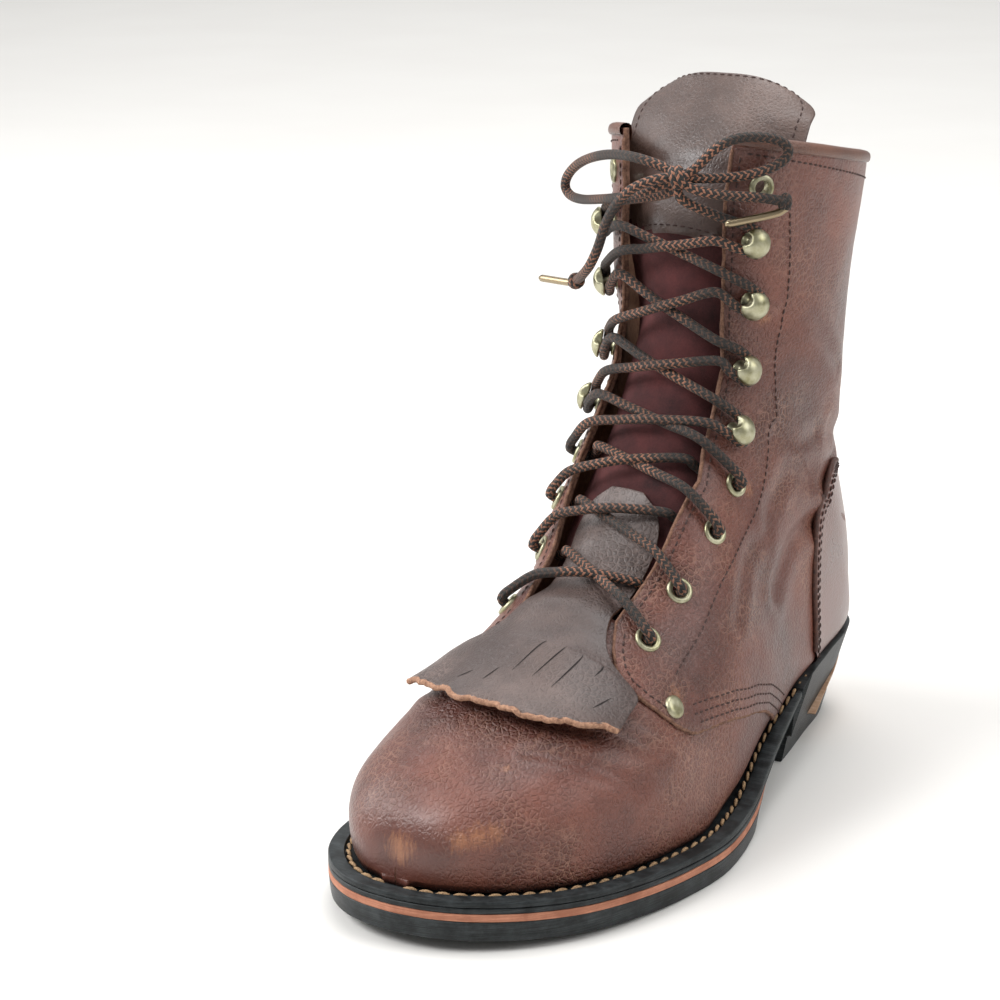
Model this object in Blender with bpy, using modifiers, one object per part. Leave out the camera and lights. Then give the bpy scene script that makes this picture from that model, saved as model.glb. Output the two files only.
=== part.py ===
"""Logger boot, left foot, standing on its sole: a lace-up leather boot with an undercut heel.

Metres, +Z up, toe towards -Y, lateral (outer) side towards +X. The origin is on the floor under the
middle of the boot. Most lengths along the boot are counted forward from the back end of the sole.
"""
import math

import bmesh
import bpy
import numpy as np
from mathutils import Matrix, Vector

# Driving sizes
SOLE_LENGTH = 0.2905
BALL_WIDTH = 0.116
COLLAR_HEIGHT = 0.240
TOE_SPRING = 0.0050
HEEL_RISE = 0.0225
HEEL_LENGTH = 0.084
HEEL_UNDERCUT = 0.010
CLEARANCE = 0.0003

# Sole layers
OUTSOLE_THICKNESS = 0.0070
SLIP_THICKNESS = 0.0026
MIDSOLE_THICKNESS = 0.0020
WELT_THICKNESS = 0.0024
INSOLE_THICKNESS = 0.0030
WELT_SHELF = 0.0090
HEEL_SHELF = 0.0030
WELT_BACK = 0.092
WAIST_BEVEL = 0.0060
BASE_THICKNESS = 0.0070
BREAST_SPLIT = 0.0110
STEP_RUN = 0.0005
STACK = OUTSOLE_THICKNESS + SLIP_THICKNESS + MIDSOLE_THICKNESS + WELT_THICKNESS

# Leather
WALL = 0.0022
LAST_BULGE = 0.0015
PANEL_STEP = 0.0012
COLLAR_ROLL = 0.0011
COLLAR_BAND = 0.0045
FOOT_GAP = 0.0013
FOOT_SPAN = 0.0150
COUNTER_THICKNESS = 0.0013
COUNTER_GAP = 0.00135
COUNTER_LIFT = 0.0007
INSOLE_PLAY = 0.0021
RING_PLAY = 0.0009
TONGUE_THICKNESS = 0.0024
TONGUE_DEPTH = 0.0048
KILTIE_THICKNESS = 0.0016

# Metal and lace
LACE_DIAMETER = 0.0035
EYELET_RADIUS = 0.00435
EYELET_OPENING = 0.0025
EYELET_BARREL = 0.0029
EYELET_RIM = 0.0008
EYELET_SEAT = 0.0005
HOOK_RADIUS = 0.0049
HOOK_HEIGHT = 0.0085
HOOK_NECK = 0.0017
HOOK_BASE = 0.0034
RIVET_RADIUS = 0.0033
RIVET_HEIGHT = 0.0016
AGLET_DIAMETER = 0.0030
END_KNOT_RADIUS = 0.0032
KNOT_RADIUS = 0.0052

# How finely the curved forms are cut
OUTLINE_STEPS = 8
SOLE_STATIONS = 32
SECTION_STEPS = 40
TURNED_STEPS = 8

# Outline of the sole seen from below: share of its length from the heel, then the medial and the
# lateral edge as shares of the ball width
OUTLINE = (
    # along, medial, lateral
    (0.000, -0.140, -0.140),
    (0.005, -0.252, -0.028),
    (0.018, -0.342, 0.066),
    (0.048, -0.416, 0.152),
    (0.100, -0.443, 0.208),
    (0.170, -0.430, 0.246),
    (0.250, -0.392, 0.292),
    (0.340, -0.352, 0.338),
    (0.434, -0.346, 0.388),
    (0.528, -0.388, 0.450),
    (0.625, -0.452, 0.500),
    (0.710, -0.493, 0.490),
    (0.786, -0.500, 0.455),
    (0.861, -0.469, 0.392),
    (0.919, -0.408, 0.300),
    (0.962, -0.322, 0.190),
    (0.987, -0.235, 0.083),
    (0.998, -0.150, -0.018),
    (1.000, -0.082, -0.082),
)

# Sections of the upper, fanned from the toe to the collar. "low" is the section's foot and "top" its
# top: along is a share of the sole's length, up a share of the way from the sole's top to the collar,
# middle and wide are shares of the ball width. waist is the share of the section's height where it
# is widest. round_low and round_top are the powers of its lower and upper quarter rounds.
SECTIONS = (
    # low_along, low_up, top_along, top_up, wide, lean, waist, round_low, round_top, twist, middle
    (0.969, 0.000, 0.969, 0.016, 0.000, 0.000, 0.40, 2.00, 2.00, 0.00, -0.083),
    (0.966, 0.000, 0.968, 0.047, 0.000, 0.000, 0.40, 2.00, 2.20, 0.00, -0.073),
    (0.957, 0.000, 0.962, 0.076, 0.000, 0.000, 0.38, 2.00, 2.30, 0.00, -0.071),
    (0.940, 0.000, 0.947, 0.105, 0.000, 0.000, 0.36, 2.00, 2.40, 0.00, -0.066),
    (0.912, 0.000, 0.919, 0.136, 0.000, 0.000, 0.34, 2.00, 2.40, 0.00, -0.057),
    (0.871, 0.000, 0.878, 0.166, 0.000, 0.000, 0.32, 2.00, 2.40, 0.00, -0.045),
    (0.816, 0.000, 0.826, 0.196, 0.000, 0.000, 0.30, 2.00, 2.30, 0.00, -0.032),
    (0.750, 0.000, 0.768, 0.233, 0.000, 0.000, 0.30, 2.00, 2.20, 0.00, -0.020),
    (0.675, 0.000, 0.711, 0.278, 0.000, 0.000, 0.30, 2.00, 2.10, 0.00, -0.014),
    (0.589, 0.000, 0.651, 0.330, 0.000, 0.000, 0.32, 2.00, 2.10, 0.02, -0.012),
    (0.499, 0.000, 0.594, 0.380, 0.379, 0.017, 0.35, 2.00, 2.10, 0.04, -0.013),
    (0.406, 0.000, 0.549, 0.423, 0.375, -0.004, 0.38, 2.00, 2.30, 0.05, -0.019),
    (0.310, 0.000, 0.515, 0.461, 0.358, -0.013, 0.42, 2.00, 2.30, 0.05, -0.023),
    (0.213, 0.000, 0.489, 0.507, 0.353, -0.009, 0.45, 2.10, 2.30, 0.05, -0.026),
    (0.120, 0.000, 0.470, 0.558, 0.349, -0.004, 0.46, 2.30, 2.30, 0.05, -0.026),
    (0.048, 0.000, 0.458, 0.609, 0.345, 0.000, 0.46, 2.50, 2.20, 0.05, -0.026),
    (0.010, 0.000, 0.451, 0.652, 0.345, 0.000, 0.46, 2.60, 2.20, 0.05, -0.026),
    (0.0025, 0.086, 0.447, 0.688, 0.328, 0.000, 0.48, 2.10, 2.20, 0.05, -0.026),
    (0.0135, 0.170, 0.444, 0.724, 0.310, 0.000, 0.50, 1.95, 2.20, 0.05, -0.027),
    (0.0400, 0.272, 0.441, 0.762, 0.315, 0.000, 0.50, 1.95, 2.20, 0.05, -0.027),
    (0.059, 0.385, 0.439, 0.804, 0.336, 0.000, 0.50, 2.10, 2.20, 0.05, -0.027),
    (0.065, 0.503, 0.437, 0.849, 0.345, 0.000, 0.50, 2.10, 2.20, 0.05, -0.027),
    (0.059, 0.631, 0.434, 0.897, 0.353, 0.000, 0.50, 2.10, 2.20, 0.05, -0.028),
    (0.046, 0.759, 0.432, 0.947, 0.366, 0.000, 0.50, 2.10, 2.20, 0.05, -0.028),
    (0.034, 0.887, 0.430, 1.000, 0.379, 0.000, 0.50, 2.10, 2.20, 0.05, -0.028),
)
HEEL_SECTION = 16
COLLAR_SECTION = 24

# x of the middle of the closed heel and shaft, as shares of the ball width
SHAFT_MIDDLE = (
    # up from the sole's top as a share of the shaft, middle
    (0.00, -0.133),
    (0.09, -0.114),
    (0.27, -0.093),
    (0.40, -0.078),
    (1.00, -0.074),
)

# Where the lines that run from the toe to the collar lie, from the facing's edge (0) to the feather
# or the heel's back seam (1)
LINES = (0, 0.06, 0.15, 0.26, 0.37, 0.47, 0.562, 0.65, 0.78, 0.91, 1)
VAMP_LINES = (-0.5, 0, 0.5)
LINES_FROM = 0.19
VAMP_ROWS = 10
QUARTER_ROWS = 8

# Edge of the facing: section number, share of the way round from the front centre
FACING_EDGE = (
    # section, around
    (0.0, 0.190),
    (11.3, 0.190),
    (12.2, 0.200),
    (13.0, 0.170),
    (14.0, 0.150),
    (16.4, 0.120),
    (19.0, 0.130),
    (22.0, 0.135),
    (24.0, 0.145),
)

# Front edge of the quarter, where it is stitched over the vamp: share of the way round, section number
QUARTER_EDGE = (
    # around, section
    (0.000, 8.90),
    (0.190, 8.90),
    (0.235, 8.45),
    (0.290, 8.15),
    (0.360, 8.00),
    (0.440, 8.05),
    (0.520, 8.20),
    (0.590, 8.40),
    (0.645, 8.70),
    (0.700, 9.75),
    (0.770, 10.40),
    (0.840, 10.80),
    (0.910, 11.05),
    (0.960, 11.20),
    (1.000, 11.30),
)

# Front and top edge of the heel counter: section number, share of the way round
COUNTER_EDGE = (
    # section, around
    (12.75, 0.950),
    (13.20, 0.835),
    (13.80, 0.700),
    (14.50, 0.610),
    (15.30, 0.530),
    (16.00, 0.505),
    (16.90, 0.520),
    (17.80, 0.610),
    (18.50, 0.740),
    (19.00, 0.860),
    (19.40, 0.985),
)
COUNTER_LINES = 8

# Tongue up to where it leaves the facings: section number, half width round, share of its full depth
TONGUE_ROWS = (
    # section, around, depth
    (8.20, 0.220, 0.02),
    (8.60, 0.240, 0.30),
    (9.00, 0.260, 0.90),
    (9.60, 0.280, 1.00),
    (10.50, 0.290, 1.00),
    (11.50, 0.300, 1.00),
    (12.50, 0.290, 1.00),
    (14.60, 0.270, 1.00),
    (16.00, 0.270, 1.00),
    (17.50, 0.280, 1.00),
    (19.00, 0.290, 1.00),
    (20.30, 0.290, 1.00),
)
# Its top, which leans back into the collar: lean is how far behind the collar's front as a share of
# the sole's length, up is a share of the shaft, then half width and sideways bow as shares of the
# ball width
TONGUE_TOP = (
    # lean, up, wide, bow
    (0.030, 0.885, 0.294, 0.172),
    (0.043, 0.935, 0.300, 0.160),
    (0.080, 1.000, 0.300, 0.125),
    (0.112, 1.045, 0.290, 0.095),
    (0.131, 1.070, 0.255, 0.065),
    (0.137, 1.077, 0.220, 0.050),
)
TONGUE_LINES = 7

# Kiltie, the fringed flap over the lower laces: section number, half width round, height of its face
# over the upper
KILTIE_ROWS = (
    # section, around, face
    (7.85, 0.415, 0.0048),
    (8.00, 0.325, 0.0042),
    (8.15, 0.262, 0.0036),
    (8.45, 0.205, 0.0028),
    (8.90, 0.150, 0.0021),
    (9.45, 0.105, -0.0038),
    (10.00, 0.090, -0.0047),
    (10.60, 0.075, -0.0050),
    (11.00, 0.045, -0.0050),
)
KILTIE_EDGE = (
    # around as a share of the flap's half width, section
    (-1.00, 7.15),
    (-0.62, 6.75),
    (-0.24, 6.50),
    (0.42, 6.50),
    (0.79, 6.90),
    (1.00, 7.25),
)
KILTIE_REACH = 0.475
KILTIE_LIFT = 0.0075
LACE_OVER_KILTIE = -0.0004
LACE_OVER_TONGUE = -0.0022
KILTIE_CROSSINGS = 2
KILTIE_LINES = 9

# Holes and hooks of the lacing, from the bottom up
EYELETS = (
    # lateral section, lateral around, medial section, medial around
    (9.00, 0.305, 9.10, 0.305),
    (10.10, 0.285, 10.40, 0.290),
    (11.50, 0.300, 11.40, 0.270),
    (12.90, 0.285, 12.80, 0.270),
    (22.80, 0.215, 22.80, 0.215),
)
HOOKS = (
    # lateral section, lateral around, medial section, medial around
    (14.10, 0.205, 14.40, 0.220),
    (16.45, 0.160, 16.65, 0.180),
    (19.40, 0.197, 19.55, 0.220),
    (21.20, 0.195, 21.30, 0.212),
)
LACED_EYELETS = 4
RIVET_PLACE = (8.50, 0.520)

# Bow, tails and their ends: metres, x, distance from the heel end, height over the collar's front
KNOT_PLACE = (0.0065, 0.1345, -0.0135)
BOW_RIGHT = (
    (0.0114, 0.1319, -0.0109),
    (0.0175, 0.1290, -0.0035),
    (0.0230, 0.1240, 0.0000),
    (0.0285, 0.1190, 0.0002),
    (0.0335, 0.1140, -0.0008),
    (0.0365, 0.1110, -0.0035),
    (0.0365, 0.1105, -0.0065),
    (0.0340, 0.1125, -0.0092),
    (0.0300, 0.1165, -0.0115),
    (0.0230, 0.1225, -0.0134),
    (0.0134, 0.1295, -0.0138),
)
BOW_LEFT = (
    (0.0017, 0.1341, -0.0107),
    (-0.0100, 0.1345, -0.0080),
    (-0.0240, 0.1275, -0.0090),
    (-0.0380, 0.1185, -0.0125),
    (-0.0500, 0.1095, -0.0175),
    (-0.0575, 0.1040, -0.0230),
    (-0.0600, 0.1020, -0.0275),
    (-0.0565, 0.1035, -0.0300),
    (-0.0470, 0.1105, -0.0295),
    (-0.0350, 0.1195, -0.0270),
    (-0.0200, 0.1295, -0.0235),
    (-0.0060, 0.1362, -0.0195),
    (0.0002, 0.1368, -0.0168),
)
TAIL_LEFT = (
    (0.0024, 0.1389, -0.0133),
    (-0.0070, 0.1418, -0.0172),
    (-0.0150, 0.1398, -0.0242),
    (-0.0215, 0.1362, -0.0326),
    (-0.0258, 0.1335, -0.0410),
    (-0.0305, 0.1310, -0.0480),
    (-0.0370, 0.1250, -0.0530),
    (-0.0442, 0.1173, -0.0572),
)
TAIL_RIGHT = (
    (0.0117, 0.1339, -0.0170),
    (0.0185, 0.1305, -0.0186),
    (0.0245, 0.1260, -0.0194),
    (0.0300, 0.1208, -0.0200),
    (0.0345, 0.1158, -0.0213),
)
END_KNOT_LEFT = (-0.0465, 0.1150, -0.0585)
END_KNOT_RIGHT = (0.0365, 0.1130, -0.0220)
AGLET_LEFT = ((-0.0496, 0.1131, -0.0599), (-0.0670, 0.1075, -0.0610))
AGLET_RIGHT = ((0.0351, 0.1144, -0.0257), (0.0218, 0.1285, -0.0290))
HOOK_STRAND_LATERAL = (0.0075, 0.1340, -0.0205)
HOOK_STRAND_MEDIAL = (0.0020, 0.1333, -0.0194)

MATERIALS = {
    # name: colour (linear), roughness, metallic
    "leather": ((0.155, 0.052, 0.037), 0.50, 0.0),
    "counter_leather": ((0.150, 0.062, 0.048), 0.42, 0.0),
    "suede": ((0.045, 0.011, 0.012), 0.95, 0.0),
    "flap_leather": ((0.060, 0.034, 0.028), 0.70, 0.0),
    "rubber": ((0.012, 0.012, 0.013), 0.60, 0.0),
    "stripe_rubber": ((0.38, 0.155, 0.090), 0.65, 0.0),
    "lift": ((0.58, 0.38, 0.25), 0.70, 0.0),
    "footbed": ((0.30, 0.20, 0.13), 0.80, 0.0),
    "nickel": ((0.55, 0.53, 0.40), 0.35, 1.0),
    "lace": ((0.020, 0.016, 0.013), 0.85, 0.0),
    "copper": ((0.45, 0.30, 0.16), 0.40, 1.0),
}


def clear_scene():
    for old in list(bpy.data.objects):
        bpy.data.objects.remove(old, do_unlink=True)


def make_collection(name):
    group = bpy.data.collections.new(name)
    bpy.context.scene.collection.children.link(group)
    return group


def make_materials():
    made = {}
    for name, (colour, roughness, metallic) in MATERIALS.items():
        material = bpy.data.materials.new(name)
        material.use_nodes = True
        shader = material.node_tree.nodes["Principled BSDF"]
        shader.inputs["Base Color"].default_value = (*colour, 1.0)
        shader.inputs["Roughness"].default_value = roughness
        shader.inputs["Metallic"].default_value = metallic
        made[name] = material
    return made


clear_scene()
BOOT = make_collection("logger_boot")
CUTTERS = make_collection("cutters")
FINISH = make_materials()


def smooth(share):
    """Soft step from 0 to 1."""
    share = np.clip(share, 0, 1)
    return share * share * (3 - 2 * share)


def read_curve(rows, at):
    """A smooth curve through the rows, read at a row number."""
    rows = np.asarray(rows, float)
    at = np.clip(np.asarray(at, float), 0, len(rows) - 1)
    i = np.minimum(at.astype(int), len(rows) - 2)
    f = (at - i)[..., None]
    b, c = rows[i], rows[i + 1]
    a = np.where((i > 0)[..., None], rows[np.maximum(i - 1, 0)], 2 * b - c)
    d = np.where((i < len(rows) - 2)[..., None], rows[np.minimum(i + 2, len(rows) - 1)], 2 * c - b)
    return 0.5 * (
        2 * b
        + (c - a) * f
        + (2 * a - 5 * b + 4 * c - d) * f**2
        + (3 * b - a - 3 * c + d) * f**3
    )


def read_table(table, at, column=1):
    """One column of a table, read along its first column."""
    rows = np.asarray(table, float)
    return np.interp(at, rows[:, 0], rows[:, column])


def place(x, along, up):
    """A point from its x, its distance from the heel end and its height."""
    return Vector((x, SOLE_LENGTH / 2 - along, up))


def by_collar(x, along, over):
    """A point of the bow, whose height counts from the collar."""
    return place(x, along, COLLAR_HEIGHT + over)


# The sole's heights and outline


def tread(along):
    """Height of the sole's underside, without the heel."""
    share = np.asarray(along, float) / SOLE_LENGTH
    spring = TOE_SPRING * np.clip((share - 0.66) / 0.34, 0, 1) ** 1.7
    return spring + HEEL_RISE * smooth((0.57 - share) / 0.33)


def sole_top(along):
    return tread(along) + STACK


def feather_inset(along):
    """How far the upper's lower edge stands inside the sole's edge."""
    forward = smooth((np.asarray(along) / SOLE_LENGTH - 0.22) / 0.22)
    return HEEL_SHELF + (WELT_SHELF - HEEL_SHELF) * forward


def waist_inset(along):
    """The outsole is trimmed under the waist, from the heel breast to the ball."""
    return WAIST_BEVEL * smooth((0.53 - np.asarray(along) / SOLE_LENGTH) / 0.17)


def no_inset(along):
    return np.zeros_like(along)


def outline_loop(inset):
    """The sole's edge as one loop, lateral heel to toe and back on the medial side, moved inwards."""
    at = np.linspace(0, len(OUTLINE) - 1, (len(OUTLINE) - 1) * OUTLINE_STEPS + 1)
    rows = read_curve(OUTLINE, at) * [SOLE_LENGTH, BALL_WIDTH, BALL_WIDTH]
    loop = np.concatenate([rows[:, [0, 2]], rows[:, [0, 1]][::-1][1:-1]])
    tangent = np.roll(loop, -1, 0) - np.roll(loop, 1, 0)
    tangent /= np.linalg.norm(tangent, axis=1)[:, None]
    normal = np.stack([-tangent[:, 1], tangent[:, 0]], -1)
    return loop - normal * np.asarray(inset(loop[:, 0]))[:, None], len(at)


def outline_sides(inset):
    """The medial and the lateral line of the moved outline, each from heel to toe."""
    loop, count = outline_loop(inset)
    medial = np.concatenate([loop[:1], loop[count - 1 :][::-1]])
    return medial, loop[:count]


def half_lines(along, inset):
    medial, lateral = outline_sides(inset)
    return (
        np.interp(along, medial[:, 0], medial[:, 1]),
        np.interp(along, lateral[:, 0], lateral[:, 1]),
    )


def stations(inset, back, front, extra=()):
    """Places along the sole between two ends, closer together near them."""
    medial, lateral = outline_sides(inset)
    first = max(medial[:, 0].min(), lateral[:, 0].min()) if back is None else back
    last = min(medial[:, 0].max(), lateral[:, 0].max()) if front is None else front
    turn = np.linspace(0, math.pi, SOLE_STATIONS + 1)
    along = first + (last - first) * (1 - np.cos(turn)) / 2
    return np.unique(np.concatenate([along, [e for e in extra if first < e < last]]))


def link_mesh(name, points, faces, finish, group=None):
    """A mesh object from points and faces, with its faces turned outwards."""
    mesh = bpy.data.meshes.new(name)
    mesh.from_pydata([tuple(p) for p in points], [], faces)
    work = bmesh.new()
    work.from_mesh(mesh)
    bmesh.ops.remove_doubles(work, verts=work.verts, dist=1e-6)
    bmesh.ops.recalc_face_normals(work, faces=work.faces)
    work.to_mesh(mesh)
    work.free()
    mesh.materials.append(FINISH[finish])
    made = bpy.data.objects.new(name, mesh)
    (group or BOOT).objects.link(made)
    return made


def plate(name, finish, low, high, low_inset, high_inset, back=None, front=None, extra=()):
    """A layer of the sole between two heights, each with its own inset from the outline."""
    ends = []
    for inset, height in ((low_inset, low), (high_inset, high)):
        along = stations(inset, back, front, extra)
        medial, lateral = half_lines(along, inset)
        ends.append((along, medial, lateral, height(along)))
    count = min(len(ends[0][0]), len(ends[1][0]))
    points = []
    for along, medial, lateral, up in ends:
        for i in range(count):
            points.append(place(medial[i], along[i], up[i]))
            points.append(place(lateral[i], along[i], up[i]))
    faces = []
    over = 2 * count
    for i in range(count - 1):
        m, l = 2 * i, 2 * i + 1
        faces.append((m, l, l + 2, m + 2))
        faces.append((over + m, over + m + 2, over + l + 2, over + l))
        faces.append((m, m + 2, over + m + 2, over + m))
        faces.append((l, over + l, over + l + 2, l + 2))
    last = 2 * (count - 1)
    faces.append((0, over, over + 1, 1))
    faces.append((last, last + 1, over + last + 1, over + last))
    return link_mesh(name, points, faces, finish)


def band_inset(height):
    """Inset of the heel's side at a height: the heel narrows towards the floor."""
    share = np.clip(1 - height / (HEEL_RISE + CLEARANCE), 0, 1)
    return lambda along: np.full_like(np.asarray(along, float), HEEL_UNDERCUT * share)


def heel_split(along):
    """Where the black band ends over the tan wedge."""
    drop = smooth((np.asarray(along, float) - 0.24 * HEEL_LENGTH) / (0.55 * HEEL_LENGTH))
    return HEEL_RISE + (BREAST_SPLIT - HEEL_RISE) * drop


def base_top(along):
    """Top of the heel's base: it meets the black band near the breast."""
    share = np.clip(np.asarray(along, float) / (0.79 * HEEL_LENGTH), 0, 1)
    return BASE_THICKNESS + (BREAST_SPLIT - CLEARANCE - BASE_THICKNESS) * share


def build_outsole():
    plate(
        "outsole",
        "rubber",
        tread,
        lambda along: tread(along) + OUTSOLE_THICKNESS - CLEARANCE,
        lambda along: 1.5 * waist_inset(along) + 0.0006,
        waist_inset,
        back=HEEL_LENGTH + STEP_RUN + CLEARANCE,
    )


def build_slip():
    plate(
        "slip_layer",
        "stripe_rubber",
        lambda along: tread(along) + OUTSOLE_THICKNESS,
        lambda along: tread(along) + OUTSOLE_THICKNESS + SLIP_THICKNESS - CLEARANCE,
        lambda along: 0.9 * waist_inset(along),
        lambda along: 0.7 * waist_inset(along),
        back=HEEL_LENGTH + STEP_RUN + CLEARANCE,
    )


def midsole_top(along, shift=0.0):
    """The midsole fills the welt's depth behind the welt's ends."""
    drop = np.clip((np.asarray(along, float) - shift - WELT_BACK + 2 * STEP_RUN) / STEP_RUN, 0, 1)
    return sole_top(along) - WELT_THICKNESS * drop


def midsole_low(along):
    """Under the heel the midsole reaches down to the wedge and the base."""
    along = np.asarray(along, float)
    forward = np.clip((along - HEEL_LENGTH) / STEP_RUN, 0, 1)
    under = tread(along) + OUTSOLE_THICKNESS + SLIP_THICKNESS
    return heel_split(along) * (1 - forward) + under * forward


def build_midsole():
    heel_ends = (HEEL_LENGTH, HEEL_LENGTH + STEP_RUN)
    welt_ends = (WELT_BACK - 2 * STEP_RUN, WELT_BACK - STEP_RUN)

    def low_inset(along):
        along = np.asarray(along, float)
        under_heel = np.clip(1 - (along - HEEL_LENGTH) / STEP_RUN, 0, 1)
        share = np.clip(1 - heel_split(along) / HEEL_RISE, 0, 1)
        return HEEL_UNDERCUT * share * under_heel + 0.4 * waist_inset(along) * (1 - under_heel)

    plate(
        "midsole",
        "rubber",
        midsole_low,
        lambda along: midsole_top(along) - CLEARANCE * welt_part(along),
        low_inset,
        no_inset,
        extra=heel_ends + welt_ends,
    )


def welt_part(along):
    """1 where the welt lies on the midsole, 0 behind its ends."""
    return np.clip((np.asarray(along, float) - WELT_BACK + 2 * STEP_RUN) / STEP_RUN, 0, 1)


def ring_inset(along):
    return feather_inset(along) + WALL + RING_PLAY


def build_welt():
    """A strip round the front of the sole, under the upper's edge and out to the sole's edge."""
    outer, count = outline_loop(no_inset)
    inner, _ = outline_loop(ring_inset)
    keep = [i for i in range(1, len(outer)) if outer[i, 0] > WELT_BACK and i % (OUTLINE_STEPS // 2) == 0]
    points = []
    for lift in (-WELT_THICKNESS, 0.0):
        for line in (outer, inner):
            for i in keep:
                along = line[i, 0]
                points.append(place(line[i, 1], along, sole_top(along) + lift))
    n = len(keep)
    faces = []
    for i in range(n - 1):
        for a, b in ((0, 1), (1, 3), (3, 2), (2, 0)):
            faces.append((a * n + i, a * n + i + 1, b * n + i + 1, b * n + i))
    for i in (0, n - 1):
        faces.append((i, n + i, 3 * n + i, 2 * n + i))
    link_mesh("welt", points, faces, "rubber")


def build_insole():
    """The footbed lies inside the upper, on the midsole."""

    def inset(along):
        return feather_inset(along) + WALL + INSOLE_PLAY

    plate(
        "insole",
        "footbed",
        lambda along: midsole_top(along, shift=0.0012) + CLEARANCE,
        lambda along: sole_top(along) + INSOLE_THICKNESS,
        inset,
        inset,
        extra=(WELT_BACK + 0.0012 - 2 * STEP_RUN, WELT_BACK + 0.0012 - STEP_RUN),
    )


def build_heel():
    wedge_tip = 0.70 * HEEL_LENGTH
    plate(
        "heel_wedge",
        "lift",
        lambda along: base_top(along) + CLEARANCE,
        lambda along: heel_split(along) - CLEARANCE,
        band_inset(BASE_THICKNESS),
        band_inset(HEEL_RISE),
        front=wedge_tip,
    )
    plate(
        "heel_base",
        "rubber",
        lambda along: np.zeros_like(along),
        lambda along: np.minimum(base_top(along), heel_split(along) - CLEARANCE),
        band_inset(0.0),
        band_inset(BASE_THICKNESS),
        front=HEEL_LENGTH,
    )


# The upper's surface


FEATHER_SIDES = outline_sides(feather_inset)


def foot_line(along):
    """Middle and half width of the upper's lower edge at a place along the sole."""
    medial = np.interp(along, FEATHER_SIDES[0][:, 0], FEATHER_SIDES[0][:, 1])
    lateral = np.interp(along, FEATHER_SIDES[1][:, 0], FEATHER_SIDES[1][:, 1])
    return (medial + lateral) / 2, (lateral - medial) / 2


def section_rows():
    """The table of sections as lengths: foot, top, middles, half widths and rounds of each."""
    rows = []
    shaft = COLLAR_HEIGHT - float(sole_top(SECTIONS[COLLAR_SECTION][0] * SOLE_LENGTH))
    for number, row in enumerate(SECTIONS):
        low_along, low_up, top_along, top_up, wide, lean, waist, low_power, top_power, twist, middle = row
        along = low_along * SOLE_LENGTH
        ground = float(sole_top(along)) + FOOT_GAP
        low_z = ground + low_up * shaft
        top_z = ground + top_up * (COLLAR_HEIGHT - ground)
        low_middle, low_half = foot_line(along)
        top_middle = middle * BALL_WIDTH
        closed = number >= HEEL_SECTION
        if closed:
            low_middle = read_table(SHAFT_MIDDLE, low_up) * BALL_WIDTH
            low_half = 0.0
        if number == 0:
            low_half = 0.0
            top_middle = low_middle
        half = wide * BALL_WIDTH if wide else low_half + LAST_BULGE * (number > 0)
        rows.append(
            (
                along,
                low_z,
                top_along * SOLE_LENGTH,
                top_z,
                low_middle,
                top_middle,
                low_half,
                half,
                lean * BALL_WIDTH,
                waist,
                low_power,
                top_power,
                twist,
            )
        )
    return np.array(rows)


SECTION_LENGTHS = section_rows()
SECTION_CACHE = {}


def section_side(number, side):
    """One side of a section from its top down: its points and how far round each one is."""
    key = (round(float(number), 5), side)
    if key in SECTION_CACHE:
        return SECTION_CACHE[key]
    row = read_curve(SECTION_LENGTHS, number)
    along, low_z, top_along, top_z, low_x, top_x, foot, half, lean, waist, power_low, power_top, twist = row
    if 0 < number < HEEL_SECTION:
        low_x, foot = foot_line(along)
    angle = np.linspace(0, math.pi / 2, SECTION_STEPS)
    low_out = foot + (half - foot) * np.sin(angle) ** (2 / power_low)
    low_up = waist * (1 - np.cos(angle) ** (2 / power_low))
    top_out = half * np.cos(angle) ** (2 / power_top)
    top_up = waist + (1 - waist) * np.sin(angle) ** (2 / power_top)
    out = np.concatenate([low_out, top_out[1:]])
    up = np.concatenate([low_up, top_up[1:]])
    offset = side * out + lean * np.sin(math.pi * np.clip(up, 0, 1))
    x = low_x + (top_x - low_x) * up + offset
    forward = along + (top_along - along) * up + twist * offset
    z = low_z + (top_z - low_z) * up
    points = np.stack([x, SOLE_LENGTH / 2 - forward, z], -1)[::-1]
    run = np.concatenate([[0], np.cumsum(np.linalg.norm(np.diff(points, axis=0), axis=1))])
    SECTION_CACHE[key] = (points, run / max(run[-1], 1e-9))
    return SECTION_CACHE[key]


def skin(number, around):
    """Point of the upper: section number, and the way round from the front centre to +-1 below."""
    side = -1 if around < 0 else 1
    points, run = section_side(number, side)
    return np.array([np.interp(min(abs(around), 1.0), run, points[:, k]) for k in range(3)])


def directions(number, around):
    """Unit vectors at a point of the upper: up the sections, away from the front centre, outwards."""
    side = -1 if around < 0 else 1
    low, high = max(number - 0.1, 0), min(number + 0.1, COLLAR_SECTION)
    reach = abs(around)
    inner, outer = max(reach - 0.02, 0), min(reach + 0.02, 1)
    rise = skin(high, around) - skin(low, around)
    away = skin(number, side * outer) - skin(number, side * inner)
    normal = np.cross(away, rise) * side
    length = np.linalg.norm(normal)
    normal = normal / length
    away = away / np.linalg.norm(away)
    return np.cross(normal, away) * side, away, normal


def quarter_edge(around):
    return float(read_table(QUARTER_EDGE, abs(around)))


def facing_edge(number):
    return float(read_table(FACING_EDGE, number))


def panel_lift(number, around):
    """The quarter stands proud of the vamp at its front edge and blends in towards the heel."""
    edge = quarter_edge(around)
    if number <= edge:
        return 0.0
    return PANEL_STEP * (1 - float(smooth((number - edge) / (HEEL_SECTION - edge))))


def near(number, around, rise=0.0, away=0.0, out=0.0):
    """A point by the upper's face, moved from it by real lengths."""
    up, side, normal = directions(number, around)
    lift = panel_lift(number, around) if abs(around) >= facing_edge(number) else 0.0
    return skin(number, around) + up * rise + side * away + normal * (out + lift)


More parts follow.
